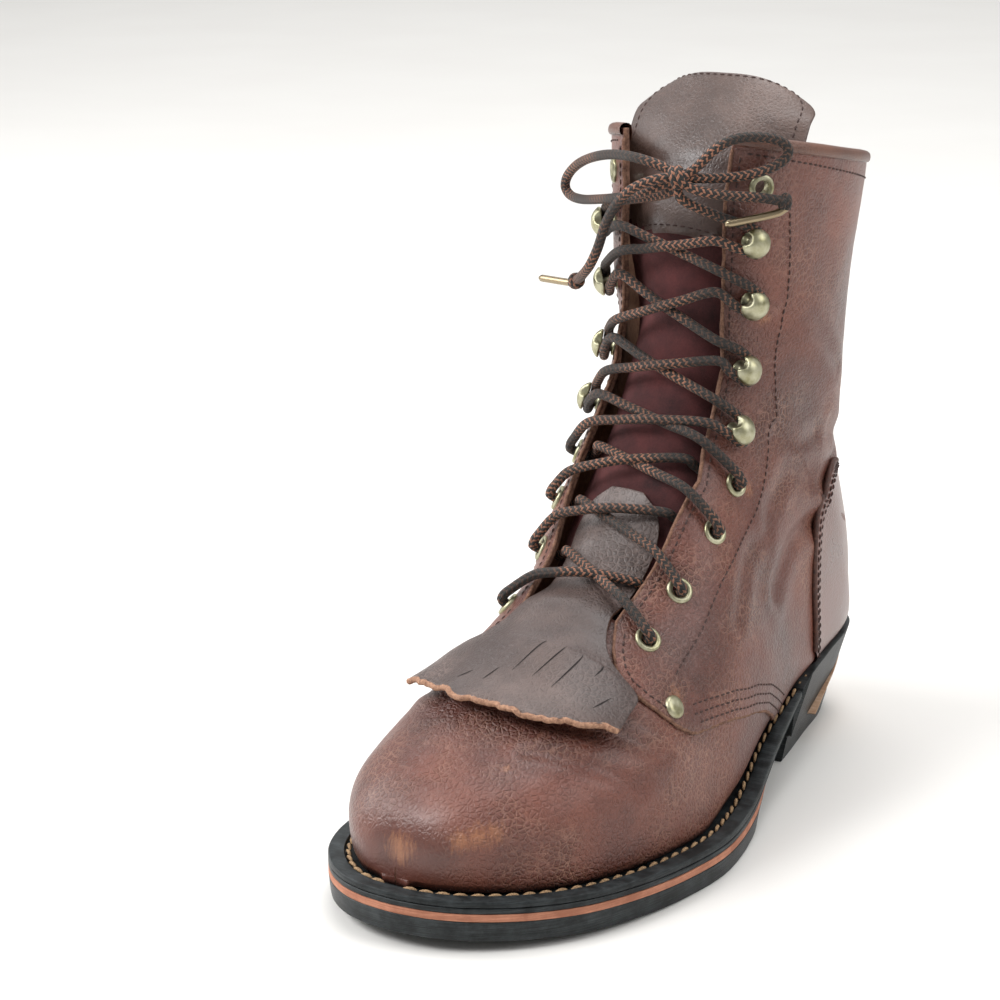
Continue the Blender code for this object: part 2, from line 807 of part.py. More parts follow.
def collar_rows():
    """Section numbers and lifts that make the rolled collar."""
    per_section = (COLLAR_HEIGHT - float(SECTION_LENGTHS[-2][3])) or 1.0
    band = COLLAR_BAND / per_section
    return (
        (COLLAR_SECTION - band - 0.06, 0.0),
        (COLLAR_SECTION - band, COLLAR_ROLL * 0.9),
        (COLLAR_SECTION - band * 0.5, COLLAR_ROLL),
        (COLLAR_SECTION, COLLAR_ROLL * 0.4),
    )


def upper_line(share, side):
    """Points of one line of the upper from the toe to the collar, as (section, around, lift)."""
    line = []
    foot_around = LINES_FROM + (1 - LINES_FROM) * share
    edge = quarter_edge(foot_around)
    for row in range(VAMP_ROWS + 1):
        number = edge * row / VAMP_ROWS
        line.append((number, facing_edge(number) + (1 - facing_edge(number)) * share, 0.0))
    for row in range(QUARTER_ROWS + 1):
        number = edge + (HEEL_SECTION - edge) * row / QUARTER_ROWS
        number = number if row else edge + 0.05
        start = facing_edge(number)
        around = start + (1 - start) * share
        line.append((number, around, panel_lift(number, foot_around) if row else PANEL_STEP))
    for number in range(HEEL_SECTION + 1, COLLAR_SECTION):
        start = facing_edge(number)
        line.append((number, start + (1 - start) * share, 0.0))
    for number, lift in collar_rows():
        start = facing_edge(number)
        line.append((number, start + (1 - start) * share, lift))
    return [(number, side * around, lift) for number, around, lift in line]


def build_upper():
    columns = [upper_line(share, -1) for share in reversed(LINES)]
    first_vamp = len(columns)
    for share in VAMP_LINES:
        around = share * LINES_FROM
        edge = quarter_edge(around)
        rows = [edge * row / VAMP_ROWS for row in range(VAMP_ROWS + 1)]
        columns.append([(number, around, 0.0) for number in rows])
    last_vamp = len(columns)
    columns += [upper_line(share, 1) for share in LINES]
    points = []
    start = []
    for column in columns:
        start.append(len(points))
        for number, around, lift in column:
            normal = directions(number, around)[2]
            base = skin(number, around) + normal * lift
            if abs(around) > 0.999 and number < HEEL_SECTION:
                along = SOLE_LENGTH / 2 - base[1]
                beyond = sole_top(along - FOOT_SPAN) + sole_top(along + FOOT_SPAN)
                hill = float(sole_top(along) - beyond / 2)
                base[2] += WALL * max(0.0, normal[2]) + max(0.0, hill)
            points.append(base)
    faces = []
    for c in range(len(columns) - 1):
        in_throat = first_vamp <= c + 1 <= last_vamp
        rows = VAMP_ROWS if in_throat else len(columns[0]) - 1
        for r in range(rows):
            a, b = start[c] + r, start[c + 1] + r
            faces.append((a, b, b + 1, a + 1))
    mesh = bpy.data.meshes.new("upper")
    mesh.from_pydata([tuple(p) for p in points], [], faces)
    work = bmesh.new()
    work.from_mesh(mesh)
    bmesh.ops.remove_doubles(work, verts=work.verts, dist=1e-5)
    bmesh.ops.dissolve_degenerate(work, edges=work.edges, dist=1e-6)
    work.to_mesh(mesh)
    work.free()
    mesh.materials.append(FINISH["leather"])
    upper = bpy.data.objects.new("upper", mesh)
    BOOT.objects.link(upper)
    wall = upper.modifiers.new("wall", "SOLIDIFY")
    wall.thickness = WALL
    wall.offset = -1.0
    return upper


def turned(name, profile, finish, closed=False, group=None, steps=TURNED_STEPS):
    """A turned piece: (radius, height) points, outer side from top to bottom, with a Screw modifier."""
    mesh = bpy.data.meshes.new(name)
    edges = [(i, i + 1) for i in range(len(profile) - 1)]
    if closed:
        edges.append((len(profile) - 1, 0))
    mesh.from_pydata([(radius, 0.0, height) for radius, height in profile], edges, [])
    mesh.materials.append(FINISH[finish])
    made = bpy.data.objects.new(name, mesh)
    (group or BOOT).objects.link(made)
    screw = made.modifiers.new("turn", "SCREW")
    screw.steps = steps
    screw.render_steps = steps
    screw.use_merge_vertices = True
    screw.merge_threshold = 0.00001
    screw.use_smooth_shade = True
    return made


def seat(made, number, around, out):
    """Put a turned piece on the upper with its axis along the surface's normal."""
    rise, away, normal = directions(number, around)
    x_axis = Vector(away)
    z_axis = Vector(normal)
    y_axis = z_axis.cross(x_axis)
    frame = Matrix((x_axis, y_axis, z_axis)).transposed().to_4x4()
    frame.translation = Vector(near(number, around, out=out))
    made.matrix_world = frame


def both_sides(table):
    """(name of side, number in the row, section, signed way round) of each place in a table."""
    for count, (lateral, round_lateral, medial, round_medial) in enumerate(table, 1):
        yield "lateral", count, lateral, round_lateral
        yield "medial", count, medial, -round_medial


def cut_eyelet_holes(upper):
    hole = EYELET_BARREL + CLEARANCE
    for side, count, number, around in both_sides(EYELETS):
        profile = ((0, 1.6 * WALL), (hole, 1.6 * WALL), (hole, -2.2 * WALL), (0, -2.2 * WALL))
        cutter = turned(f"hole_{side}_{count}", profile, "leather", group=CUTTERS, steps=12)
        cutter.hide_render = True
        cutter.display_type = "WIRE"
        seat(cutter, number, around, 0.0)
        cut = upper.modifiers.new(f"hole_{side}_{count}", "BOOLEAN")
        cut.operation = "DIFFERENCE"
        cut.solver = "EXACT"
        cut.object = cutter


def build_eyelets():
    """Each eyelet has a rounded flange on the leather and a barrel in its hole."""
    profile = (
        (EYELET_OPENING, EYELET_RIM * 0.6),
        ((EYELET_OPENING + EYELET_RADIUS) / 2, EYELET_RIM),
        (EYELET_RADIUS, 0.0),
        (EYELET_BARREL, 0.0),
        (EYELET_BARREL, -WALL),
        (EYELET_OPENING, -WALL),
    )
    for side, count, number, around in both_sides(EYELETS):
        eyelet = turned(f"eyelet_{side}_{count}", profile, "nickel", closed=True)
        seat(eyelet, number, around, EYELET_SEAT)


def build_hooks():
    """Each speed hook has a foot plate, a neck and a domed head."""
    under = HOOK_HEIGHT * 0.60
    profile = (
        (0, HOOK_HEIGHT),
        (HOOK_RADIUS * 0.65, HOOK_HEIGHT * 0.94),
        (HOOK_RADIUS, HOOK_HEIGHT * 0.73),
        (HOOK_RADIUS * 0.9, under),
        (HOOK_NECK, under),
        (HOOK_NECK, EYELET_RIM),
        (HOOK_BASE, EYELET_RIM),
        (HOOK_BASE, 0.0),
        (0, 0.0),
    )
    for side, count, number, around in both_sides(HOOKS):
        hook = turned(f"hook_{side}_{count}", profile, "nickel")
        seat(hook, number, around, CLEARANCE)


def build_rivets():
    profile = (
        (0, RIVET_HEIGHT),
        (RIVET_RADIUS * 0.65, RIVET_HEIGHT * 0.85),
        (RIVET_RADIUS, RIVET_HEIGHT * 0.3),
        (RIVET_RADIUS, 0.0),
        (0, 0.0),
    )
    number, around = RIVET_PLACE
    for side, sign in (("lateral", 1), ("medial", -1)):
        rivet = turned(f"rivet_{side}", profile, "nickel", steps=12)
        seat(rivet, number, sign * around, CLEARANCE)


def open_grid(name, rows, finish, thickness):
    """A sheet from rows of points, given its thickness on the side away from its face."""
    points = [tuple(p) for row in rows for p in row]
    width = len(rows[0])
    faces = []
    for r in range(len(rows) - 1):
        for c in range(width - 1):
            a = r * width + c
            faces.append((a, a + 1, a + width + 1, a + width))
    mesh = bpy.data.meshes.new(name)
    mesh.from_pydata(points, [], faces)
    work = bmesh.new()
    work.from_mesh(mesh)
    bmesh.ops.remove_doubles(work, verts=work.verts, dist=1e-5)
    bmesh.ops.dissolve_degenerate(work, edges=work.edges, dist=1e-6)
    work.to_mesh(mesh)
    work.free()
    mesh.materials.append(FINISH[finish])
    made = bpy.data.objects.new(name, mesh)
    BOOT.objects.link(made)
    wall = made.modifiers.new("wall", "SOLIDIFY")
    wall.thickness = thickness
    wall.offset = -1.0
    return made


def beside(number, around, out):
    """A point off the upper's face, never lower than the spot that it stands beside."""
    normal = directions(number, around)[2]
    level = normal * [1.0, 1.0, float(normal[2] > 0)]
    spot = skin(number, around) + normal * panel_lift(number, around)
    spot = spot + level / np.linalg.norm(level) * out
    spot[2] += COUNTER_LIFT * (abs(around) > 0.999)
    return spot


def build_counter():
    """A leather cup round the heel, over the quarters: its two halves meet at the back."""
    out = COUNTER_GAP + COUNTER_THICKNESS
    rows = []
    for number, start in COUNTER_EDGE:
        shares = [start + (1 - start) * i / COUNTER_LINES for i in range(COUNTER_LINES + 1)]
        medial = [beside(number, -s, out) for s in shares]
        lateral = [beside(number, s, out) for s in shares]
        if number >= HEEL_SECTION:
            back = (medial[-1] + lateral[-1]) / 2
            medial[-1] = back
            lateral[-1] = back
        rows.append((medial, lateral))
    points = []
    index = []
    for medial, lateral in rows:
        index.append(len(points))
        points += medial + lateral
    width = COUNTER_LINES + 1
    faces = []
    for r in range(len(rows) - 1):
        for side in (0, width):
            for c in range(COUNTER_LINES):
                a = index[r] + side + c
                b = index[r + 1] + side + c
                face = (a, a + 1, b + 1, b)
                faces.append(face if side else face[::-1])
    mesh = bpy.data.meshes.new("counter")
    mesh.from_pydata([tuple(p) for p in points], [], [face[::-1] for face in faces])
    work = bmesh.new()
    work.from_mesh(mesh)
    bmesh.ops.remove_doubles(work, verts=work.verts, dist=1e-5)
    bmesh.ops.dissolve_degenerate(work, edges=work.edges, dist=1e-6)
    work.to_mesh(mesh)
    work.free()
    mesh.materials.append(FINISH["counter_leather"])
    counter = bpy.data.objects.new("counter", mesh)
    BOOT.objects.link(counter)
    wall = counter.modifiers.new("wall", "SOLIDIFY")
    wall.thickness = COUNTER_THICKNESS
    wall.offset = -1.0


def build_tongue():
    """The tongue lies under the facings and leans back into the collar at its top."""
    rows = []
    spread = np.linspace(-1, 1, TONGUE_LINES)
    for number, around, depth in TONGUE_ROWS:
        out = -(WALL + CLEARANCE + depth * TONGUE_DEPTH)
        rows.append([sunk(number, u * around, out) for u in spread])
    front = float(SECTION_LENGTHS[-1][2])
    middle = float(SECTION_LENGTHS[-1][5])
    foot = float(sole_top(0))
    for lean, up, wide, bow in TONGUE_TOP:
        row = []
        for u in spread:
            along = front - lean * SOLE_LENGTH - bow * BALL_WIDTH * u * u
            row.append(place(middle + wide * BALL_WIDTH * u, along, foot + up * (COLLAR_HEIGHT - foot)))
        rows.append(row)
    open_grid("tongue", rows, "suede", TONGUE_THICKNESS)


def sunk(number, around, out):
    """A point off the upper's bare surface, without the quarter's step."""
    return skin(number, around) + directions(number, around)[2] * out


def build_kiltie():
    """The flap starts in the throat, comes out over the vamp and lifts at its fringed edge."""
    spread = np.linspace(-1, 1, KILTIE_LINES)
    edge = [sunk(float(read_table(KILTIE_EDGE, u)), u * KILTIE_REACH, KILTIE_LIFT) for u in spread]
    rows = [edge]
    first, reach, face = KILTIE_ROWS[0]
    half_way = []
    for u in spread:
        number = (float(read_table(KILTIE_EDGE, u)) + first) / 2
        half_way.append(sunk(number, u * (KILTIE_REACH + reach) / 2, (KILTIE_LIFT + face) / 2))
    rows.append(half_way)
    for number, around, face in KILTIE_ROWS:
        rows.append([sunk(number, u * around, face) for u in spread])
    open_grid("kiltie", rows, "flap_leather", KILTIE_THICKNESS)


def smooth_route(points, gap):
    """A smooth curve through the route's points, with more points between those that lie far apart."""
    route = np.asarray([tuple(p) for p in points], float)
    at = []
    for i, length in enumerate(np.linalg.norm(np.diff(route, axis=0), axis=1)):
        count = max(int(round(length / gap)), 1)
        at += [i + k / count for k in range(count)]
    return [tuple(spot) for spot in read_curve(route, at + [len(route) - 1])]


def tube(name, points, diameter, finish, group=None, gap=None):
    """A round cord or rod along a smooth route."""
    curve = bpy.data.curves.new(name, "CURVE")
    curve.dimensions = "3D"
    curve.bevel_depth = diameter / 2
    curve.bevel_resolution = 2
    curve.use_fill_caps = True
    line = curve.splines.new("POLY")
    route = smooth_route(points, gap or 2.2 * diameter)
    line.points.add(len(route) - 1)
    for point, spot in zip(line.points, route):
        point.co = (*spot, 1.0)
    curve.materials.append(FINISH[finish])
    made = bpy.data.objects.new(name, curve)
    (group or BOOT).objects.link(made)
    return made


def as_mesh(made):
    """Turn a curve into a closed mesh, so that it can be joined or cut."""
    bpy.context.view_layer.update()
    graph = bpy.context.evaluated_depsgraph_get()
    mesh = bpy.data.meshes.new_from_object(made.evaluated_get(graph))
    work = bmesh.new()
    work.from_mesh(mesh)
    bmesh.ops.remove_doubles(work, verts=work.verts, dist=1e-6)
    bmesh.ops.recalc_face_normals(work, faces=work.faces)
    work.to_mesh(mesh)
    work.free()
    name = made.name
    group = made.users_collection[0]
    solid = bpy.data.objects.new(name + "_solid", mesh)
    solid.matrix_world = made.matrix_world
    group.objects.link(solid)
    bpy.data.objects.remove(made, do_unlink=True)
    solid.name = name
    return solid


def lacing_places():
    """Each level of the lacing from the bottom: whether it is a hook, and its two places."""
    levels = []
    for row in EYELETS[:LACED_EYELETS]:
        levels.append((False, (row[0], row[1]), (row[2], -row[3])))
    for row in HOOKS:
        levels.append((True, (row[0], row[1]), (row[2], -row[3])))
    return levels


def strand_start(is_hook, spot):
    """Where a strand sets out across the throat: from under the facing, or from below a hook."""
    number, around = spot
    side = math.copysign(1, around)
    radius = LACE_DIAMETER / 2
    if is_hook:
        lace_height = CLEARANCE * 2 + EYELET_RIM + radius
        turn = HOOK_NECK + CLEARANCE + radius
        return [
            near(number, around, rise=-turn, away=-0.5 * turn, out=lace_height),
            near(number, around, rise=-turn * 1.1, away=-1.5 * turn, out=lace_height),
            edge_point(number - 0.42, side),
        ]
    number = number - 0.25
    edge = side * facing_edge(number)
    depth = -(WALL + CLEARANCE * 2 + radius)
    return [
        sunk(number, edge - side * 0.008, depth),
        sunk(number - 0.08, edge - side * 0.045, depth * 0.55),
    ]


def edge_point(number, side):
    """Where a strand crosses the facing's edge, just over the leather."""
    edge = facing_edge(number)
    out = LACE_DIAMETER / 2 + CLEARANCE * 3 + panel_lift(number, edge)
    return sunk(number, side * (edge - 0.02), out)


def strand_end(is_hook, spot):
    """Where a strand from above arrives: over an eyelet, or round a hook's neck."""
    number, around = spot
    radius = LACE_DIAMETER / 2
    side = math.copysign(1, around)
    if is_hook:
        lace_height = CLEARANCE * 2 + EYELET_RIM + radius
        turn = HOOK_NECK + CLEARANCE * 2 + radius
        return [
            edge_point(number + 0.42, side),
            near(number, around, rise=turn, away=-1.6 * turn, out=lace_height),
            near(number, around, rise=turn, away=-0.2 * turn, out=lace_height),
            near(number, around, rise=0.7 * turn, away=0.8 * turn, out=lace_height),
            near(number, around, rise=-0.1 * turn, away=1.08 * turn, out=lace_height),
            near(number, around, rise=-0.8 * turn, away=0.7 * turn, out=lace_height),
        ]
    over = EYELET_RIM + CLEARANCE * 2 + radius
    return [
        edge_point(number + 0.25, side),
        near(number, around, rise=0.001, away=-0.0055, out=over),
        near(number, around, away=-0.0020, out=over + 0.0003),
        near(number, around, away=0.0004, out=over - 0.0007),
    ]


def crossing_strand(upper_level, lower_level, from_lateral, height):
    """A strand from one side's place to the other side's place a level below."""
    start_spot = upper_level[1] if from_lateral else upper_level[2]
    end_spot = lower_level[2] if from_lateral else lower_level[1]
    start = strand_start(upper_level[0], start_spot)
    end = strand_end(lower_level[0], end_spot)
    number = (start_spot[0] + end_spot[0]) / 2
    low = sunk(number, 0.0, height)
    middle = (start[-1] + end[0]) / 2
    middle = middle + directions(number, 0.0)[2] * max(0.0, np.dot(low - middle, directions(number, 0.0)[2]))
    return start + [middle] + end


def join_pair(name, first, second):
    """Two strands that cross, joined into one solid."""
    spacing = 3.2 * LACE_DIAMETER
    made = as_mesh(tube(name, first, LACE_DIAMETER, "lace", gap=spacing))
    other = as_mesh(tube(name + "_over", second, LACE_DIAMETER, "lace", CUTTERS, spacing))
    other.hide_render = True
    other.display_type = "WIRE"
    join = made.modifiers.new("join", "BOOLEAN")
    join.operation = "UNION"
    join.solver = "EXACT"
    join.object = other


def build_crossings():
    levels = lacing_places()
    for count in range(len(levels) - 1):
        lower, upper = levels[count], levels[count + 1]
        height = LACE_OVER_KILTIE if count < KILTIE_CROSSINGS else LACE_OVER_TONGUE
        first = crossing_strand(upper, lower, True, height)
        second = crossing_strand(upper, lower, False, height)
        join_pair(f"lace_crossing_{count + 1}", first, second)
    top = levels[-1]
    for side, spot, start in (
        ("lateral", top[1], by_collar(*HOOK_STRAND_LATERAL)),
        ("medial", top[2], by_collar(*HOOK_STRAND_MEDIAL)),
    ):
        tube(f"lace_strand_{side}", [start] + strand_end(True, spot), LACE_DIAMETER, "lace")


def ball(name, centre, radius, finish, stretch=(1, 1, 1)):
    mesh = bpy.data.meshes.new(name)
    work = bmesh.new()
    bmesh.ops.create_uvsphere(work, u_segments=10, v_segments=6, radius=radius)
    bmesh.ops.scale(work, verts=work.verts, vec=stretch)
    work.to_mesh(mesh)
    work.free()
    mesh.shade_smooth()
    mesh.materials.append(FINISH[finish])
    made = bpy.data.objects.new(name, mesh)
    made.location = by_collar(*centre)
    BOOT.objects.link(made)


def build_bow():
    """The knot, its two loops and the two tails, with a knot and an aglet at each end."""
    ball("bow_knot", KNOT_PLACE, KNOT_RADIUS, "lace", (1.0, 0.8, 1.1))
    for name, route in (
        ("bow_loop_lateral", BOW_RIGHT),
        ("bow_loop_medial", BOW_LEFT),
        ("lace_tail_lateral", TAIL_RIGHT),
        ("lace_tail_medial", TAIL_LEFT),
    ):
        tube(name, [by_collar(*spot) for spot in route], LACE_DIAMETER, "lace")
    for side, knot, aglet in (
        ("lateral", END_KNOT_RIGHT, AGLET_RIGHT),
        ("medial", END_KNOT_LEFT, AGLET_LEFT),
    ):
        ball(f"end_knot_{side}", knot, END_KNOT_RADIUS, "lace")
        tube(f"aglet_{side}", [by_collar(*spot) for spot in aglet], AGLET_DIAMETER, "copper")


build_outsole()
build_slip()
build_midsole()
build_welt()
build_heel()
build_insole()
UPPER = build_upper()
cut_eyelet_holes(UPPER)
build_counter()
build_tongue()
build_kiltie()
build_eyelets()
build_hooks()
build_rivets()
build_crossings()
build_bow()
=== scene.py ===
"""Left logger boot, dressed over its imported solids. Metres, toe towards -Y, lateral side towards +X."""
import math

import bmesh
import bpy
import numpy as np
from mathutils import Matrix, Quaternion, Vector, noise


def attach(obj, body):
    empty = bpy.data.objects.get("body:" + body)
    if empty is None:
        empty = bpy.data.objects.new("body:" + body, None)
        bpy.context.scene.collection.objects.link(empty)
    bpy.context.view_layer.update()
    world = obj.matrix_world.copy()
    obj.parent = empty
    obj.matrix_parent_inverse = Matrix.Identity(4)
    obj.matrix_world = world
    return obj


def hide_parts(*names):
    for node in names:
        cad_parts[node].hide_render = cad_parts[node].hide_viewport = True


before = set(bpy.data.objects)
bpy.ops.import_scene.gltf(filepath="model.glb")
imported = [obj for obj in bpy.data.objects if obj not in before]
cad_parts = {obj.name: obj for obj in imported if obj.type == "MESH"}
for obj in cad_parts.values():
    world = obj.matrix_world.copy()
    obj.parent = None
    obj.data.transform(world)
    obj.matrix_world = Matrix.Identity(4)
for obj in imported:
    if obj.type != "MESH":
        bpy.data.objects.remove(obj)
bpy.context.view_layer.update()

# The ragged leather edges draw their random vectors from this seed.
RANDOM_SEED = 11
noise.seed_set(RANDOM_SEED)

# Camera, floor and light: the boot stands on a pale matt floor under soft studio light, with the
# larger softbox at the upper left. The camera has a long lens and looks down over the lateral front
# corner of the boot.
CAMERA_PLACE = (0.4553, -0.7662, 0.3770)
CAMERA_AROUND = 33.912
CAMERA_ABOVE = 16.463
CAMERA_ROLL = -0.256
CAMERA_LENS = 95.34
FLOOR_REACH = 9.0
BOOT_MIDDLE = (0.0, 0.0, 0.10)
SOFTBOXES = (
    # name, place, width, watts, aimed at
    ("softbox_left", (-0.75, -1.25, 1.45), 0.75, 27.0, BOOT_MIDDLE),
    ("softbox_window", (-1.35, -0.40, 0.72), 0.85, 15.0, BOOT_MIDDLE),
    ("softbox_right", (1.35, 0.35, 1.05), 0.90, 11.0, BOOT_MIDDLE),
    ("softbox_top", (0.10, 0.25, 1.80), 1.00, 17.0, BOOT_MIDDLE),
    ("softbox_back", (-1.35, 2.10, 2.30), 2.60, 44.0, (-1.35, 2.10, 0.0)),
)
ROOM_LIGHT = 0.44


def linear(code):
    """An sRGB colour code as the linear values that a shader takes."""
    parts = [int(code[i : i + 2], 16) / 255 for i in (1, 3, 5)]
    return (*[c / 12.92 if c <= 0.04045 else ((c + 0.055) / 1.055) ** 2.4 for c in parts], 1.0)


def add_node(tree, kind, inputs=(), **settings):
    """Adds a node. Inputs, in order or by key, are values or sockets to link from. Gives its outputs."""
    node = tree.nodes.new("ShaderNode" + kind)
    for key, value in settings.items():
        setattr(node, key, value)
    for key, value in inputs.items() if isinstance(inputs, dict) else enumerate(inputs):
        if isinstance(value, bpy.types.NodeSocket):
            tree.links.new(value, node.inputs[key])
        else:
            node.inputs[key].default_value = value
    return node.outputs


def new_material(name, roughness, metallic=0.0, ior=1.5):
    material = bpy.data.materials.new(name)
    material.use_nodes = True
    shader = material.node_tree.nodes["Principled BSDF"]
    shader.inputs["Roughness"].default_value = roughness
    shader.inputs["Metallic"].default_value = metallic
    shader.inputs["IOR"].default_value = ior
    return material, material.node_tree, shader


def paint(tree, shader, share, dark, light, height=None, strength=1.0, depth=0.0):
    """A colour between two codes by the share, and where a height is given its relief in metres."""
    tint = add_node(tree, "Mix", {0: share, 6: linear(dark), 7: linear(light)}, data_type="RGBA")[2]
    tree.links.new(tint, shader.inputs["Base Color"])
    if height is not None:
        bump = add_node(tree, "Bump", {"Strength": strength, "Distance": depth, "Height": height})[0]
        tree.links.new(bump, shader.inputs["Normal"])


camera_data = bpy.data.cameras.new("camera")
camera_data.lens = CAMERA_LENS
camera_data.sensor_width = 36.0
camera = bpy.data.objects.new("camera", camera_data)
around, above = math.radians(CAMERA_AROUND), math.radians(CAMERA_ABOVE)
back = Vector((math.sin(around) * math.cos(above), -math.cos(around) * math.cos(above), math.sin(above)))
camera.rotation_mode = "QUATERNION"
roll = Quaternion((0, 0, 1), math.radians(CAMERA_ROLL))
camera.rotation_quaternion = (-back).to_track_quat("-Z", "Y") @ roll
camera.location = CAMERA_PLACE
bpy.context.scene.collection.objects.link(camera)
bpy.context.scene.camera = camera

floor_mesh = bpy.data.meshes.new("floor")
corners = [(x * FLOOR_REACH, y * FLOOR_REACH, 0.0) for x, y in ((-1, -1), (1, -1), (1, 1), (-1, 1))]
floor_mesh.from_pydata(corners, [], [(0, 1, 2, 3)])
floor = bpy.data.objects.new("floor", floor_mesh)
bpy.context.scene.collection.objects.link(floor)
painted_board, tree, shader = new_material("painted board", 0.75)
spots = add_node(tree, "TexCoord")["Object"]
grime = add_node(tree, "TexNoise", {"Vector": spots, "Scale": 6.0, "Detail": 4.0})[0]
paint(tree, shader, grime, "#e4e3e0", "#dedcd9")
floor_mesh.materials.append(painted_board)

for name, place_at, width, watts, aimed_at in SOFTBOXES:
    lamp_data = bpy.data.lights.new(name, "AREA")
    lamp_data.size = width
    lamp_data.energy = watts
    lamp = bpy.data.objects.new(name, lamp_data)
    lamp.location = place_at
    aim = Vector(aimed_at) - lamp.location
    lamp.rotation_mode = "QUATERNION"
    lamp.rotation_quaternion = aim.to_track_quat("-Z", "Y")
    bpy.context.scene.collection.objects.link(lamp)
room = bpy.data.worlds.new("studio")
room.use_nodes = True
room.node_tree.nodes["Background"].inputs["Color"].default_value = linear("#f4f4f3")
room.node_tree.nodes["Background"].inputs["Strength"].default_value = ROOM_LIGHT
bpy.context.scene.world = room
bpy.context.scene.view_settings.view_transform = "Standard"

# The bow: one braided polyester lace, black with copper flecks, tied in a bow in front of the collar.
# Its two loops and two free ends are tubes along smooth routes, each end with an overhand knot and a
# crimped metal tip.
SOLE_LENGTH = 0.2905
COLLAR_HEIGHT = 0.240
LACE_DIAMETER = 0.0035
LACE_STRANDS = 8
LACE_CELLS = 4.4
KNOT_PLACE = (0.0065, 0.1345, -0.0135)
BOW_RIGHT = (
    (0.0114, 0.1319, -0.0109),
    (0.0175, 0.1290, -0.0035),
    (0.0230, 0.1240, 0.0000),
    (0.0285, 0.1190, 0.0002),
    (0.0335, 0.1140, -0.0008),
    (0.0365, 0.1110, -0.0035),
    (0.0365, 0.1105, -0.0065),
    (0.0340, 0.1125, -0.0092),
    (0.0300, 0.1165, -0.0115),
    (0.0230, 0.1225, -0.0134),
    (0.0134, 0.1295, -0.0138),
)
BOW_LEFT = (
    (0.0017, 0.1341, -0.0107),
    (-0.0100, 0.1345, -0.0080),
    (-0.0240, 0.1275, -0.0090),
    (-0.0380, 0.1185, -0.0125),
    (-0.0500, 0.1095, -0.0175),
    (-0.0575, 0.1040, -0.0230),
    (-0.0600, 0.1020, -0.0275),
    (-0.0565, 0.1035, -0.0300),
    (-0.0470, 0.1105, -0.0295),
    (-0.0350, 0.1195, -0.0270),
    (-0.0200, 0.1295, -0.0235),
    (-0.0060, 0.1362, -0.0195),
    (0.0002, 0.1368, -0.0168),
)
TAIL_LEFT = (
    (0.0024, 0.1389, -0.0133),
    (-0.0070, 0.1418, -0.0172),
    (-0.0150, 0.1398, -0.0242),
    (-0.0215, 0.1362, -0.0326),
    (-0.0258, 0.1335, -0.0410),
    (-0.0305, 0.1310, -0.0480),
    (-0.0370, 0.1250, -0.0530),
    (-0.0442, 0.1173, -0.0572),
)
TAIL_RIGHT = (
    (0.0117, 0.1339, -0.0170),
    (0.0185, 0.1305, -0.0186),
    (0.0245, 0.1260, -0.0194),
    (0.0300, 0.1208, -0.0200),
    (0.0345, 0.1158, -0.0213),
)
END_KNOT_LEFT = (-0.0465, 0.1150, -0.0585)
END_KNOT_RIGHT = (0.0365, 0.1130, -0.0220)
AGLET_LEFT = ((-0.0496, 0.1131, -0.0599), (-0.0670, 0.1075, -0.0610))
AGLET_RIGHT = ((0.0351, 0.1144, -0.0257), (0.0218, 0.1285, -0.0290))
HOOK_STRAND_LATERAL = (0.0075, 0.1340, -0.0205)
HOOK_STRAND_MEDIAL = (0.0020, 0.1333, -0.0194)
ROUTE_ROUNDS = 16
ROUTE_STEP = 0.0009
KNOT_STEP = 0.0006
END_KNOT_THREAD = 0.0014
TIP_RADIUS = 0.00135


def read_curve(rows, at):
    """A smooth curve through the rows, read at a row number."""
    rows = np.asarray(rows, float)
    at = np.clip(np.asarray(at, float), 0, len(rows) - 1)
    i = np.minimum(at.astype(int), len(rows) - 2)
    f = (at - i)[..., None]
    b, c = rows[i], rows[i + 1]
    a = np.where((i > 0)[..., None], rows[np.maximum(i - 1, 0)], 2 * b - c)
    d = np.where((i < len(rows) - 2)[..., None], rows[np.minimum(i + 2, len(rows) - 1)], 2 * c - b)
    return 0.5 * (
        2 * b
        + (c - a) * f
        + (2 * a - 5 * b + 4 * c - d) * f**2
        + (3 * b - a - 3 * c + d) * f**3
    )


def run_of(points):
    """The length along a line of points, up to each of them."""
    return np.concatenate([[0], np.cumsum(np.linalg.norm(np.diff(points, axis=0), axis=1))])


def unit(vectors):
    return vectors / np.linalg.norm(vectors, axis=-1, keepdims=True)


def evened(line, rounds):
    """Evens out a line of points in place, with its two ends kept."""
    for _ in range(rounds):
        line[1:-1] = (line[:-2] + 2 * line[1:-1] + line[2:]) / 4
    return line


def by_collar(x, along, over):
    """A point of the bow from its x, its distance from the heel end and its height over the collar."""
    return Vector((x, SOLE_LENGTH / 2 - along, COLLAR_HEIGHT + over))


def smooth_route(points, gap):
    """A smooth curve through the route's points, with more points between those that lie far apart."""
    route = np.asarray([tuple(p) for p in points], float)
    at = []
    for i, length in enumerate(np.linalg.norm(np.diff(route, axis=0), axis=1)):
        count = max(int(round(length / gap)), 1)
        at += [i + k / count for k in range(count)]
    return [tuple(spot) for spot in read_curve(route, at + [len(route) - 1])]


def link(name, mesh, materials):
    """Puts a mesh with its materials in the scene and lets it ride on the boot."""
    for material in materials:
        mesh.materials.append(material)
    mesh.shade_smooth()
    piece = bpy.data.objects.new(name, mesh)
    bpy.context.scene.collection.objects.link(piece)
    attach(piece, "root")
    return piece


def ring_faces(first, rings, count, closed=True):
    """Faces between rings of points that follow each other from the first point's number."""
    faces = []
    for ring in range(rings - 1):
        a = first + ring * count
        for k in range(count if closed else count - 1):
            n = (k + 1) % count
            faces.append((a + k, a + n, a + count + n, a + count + k))
    return faces


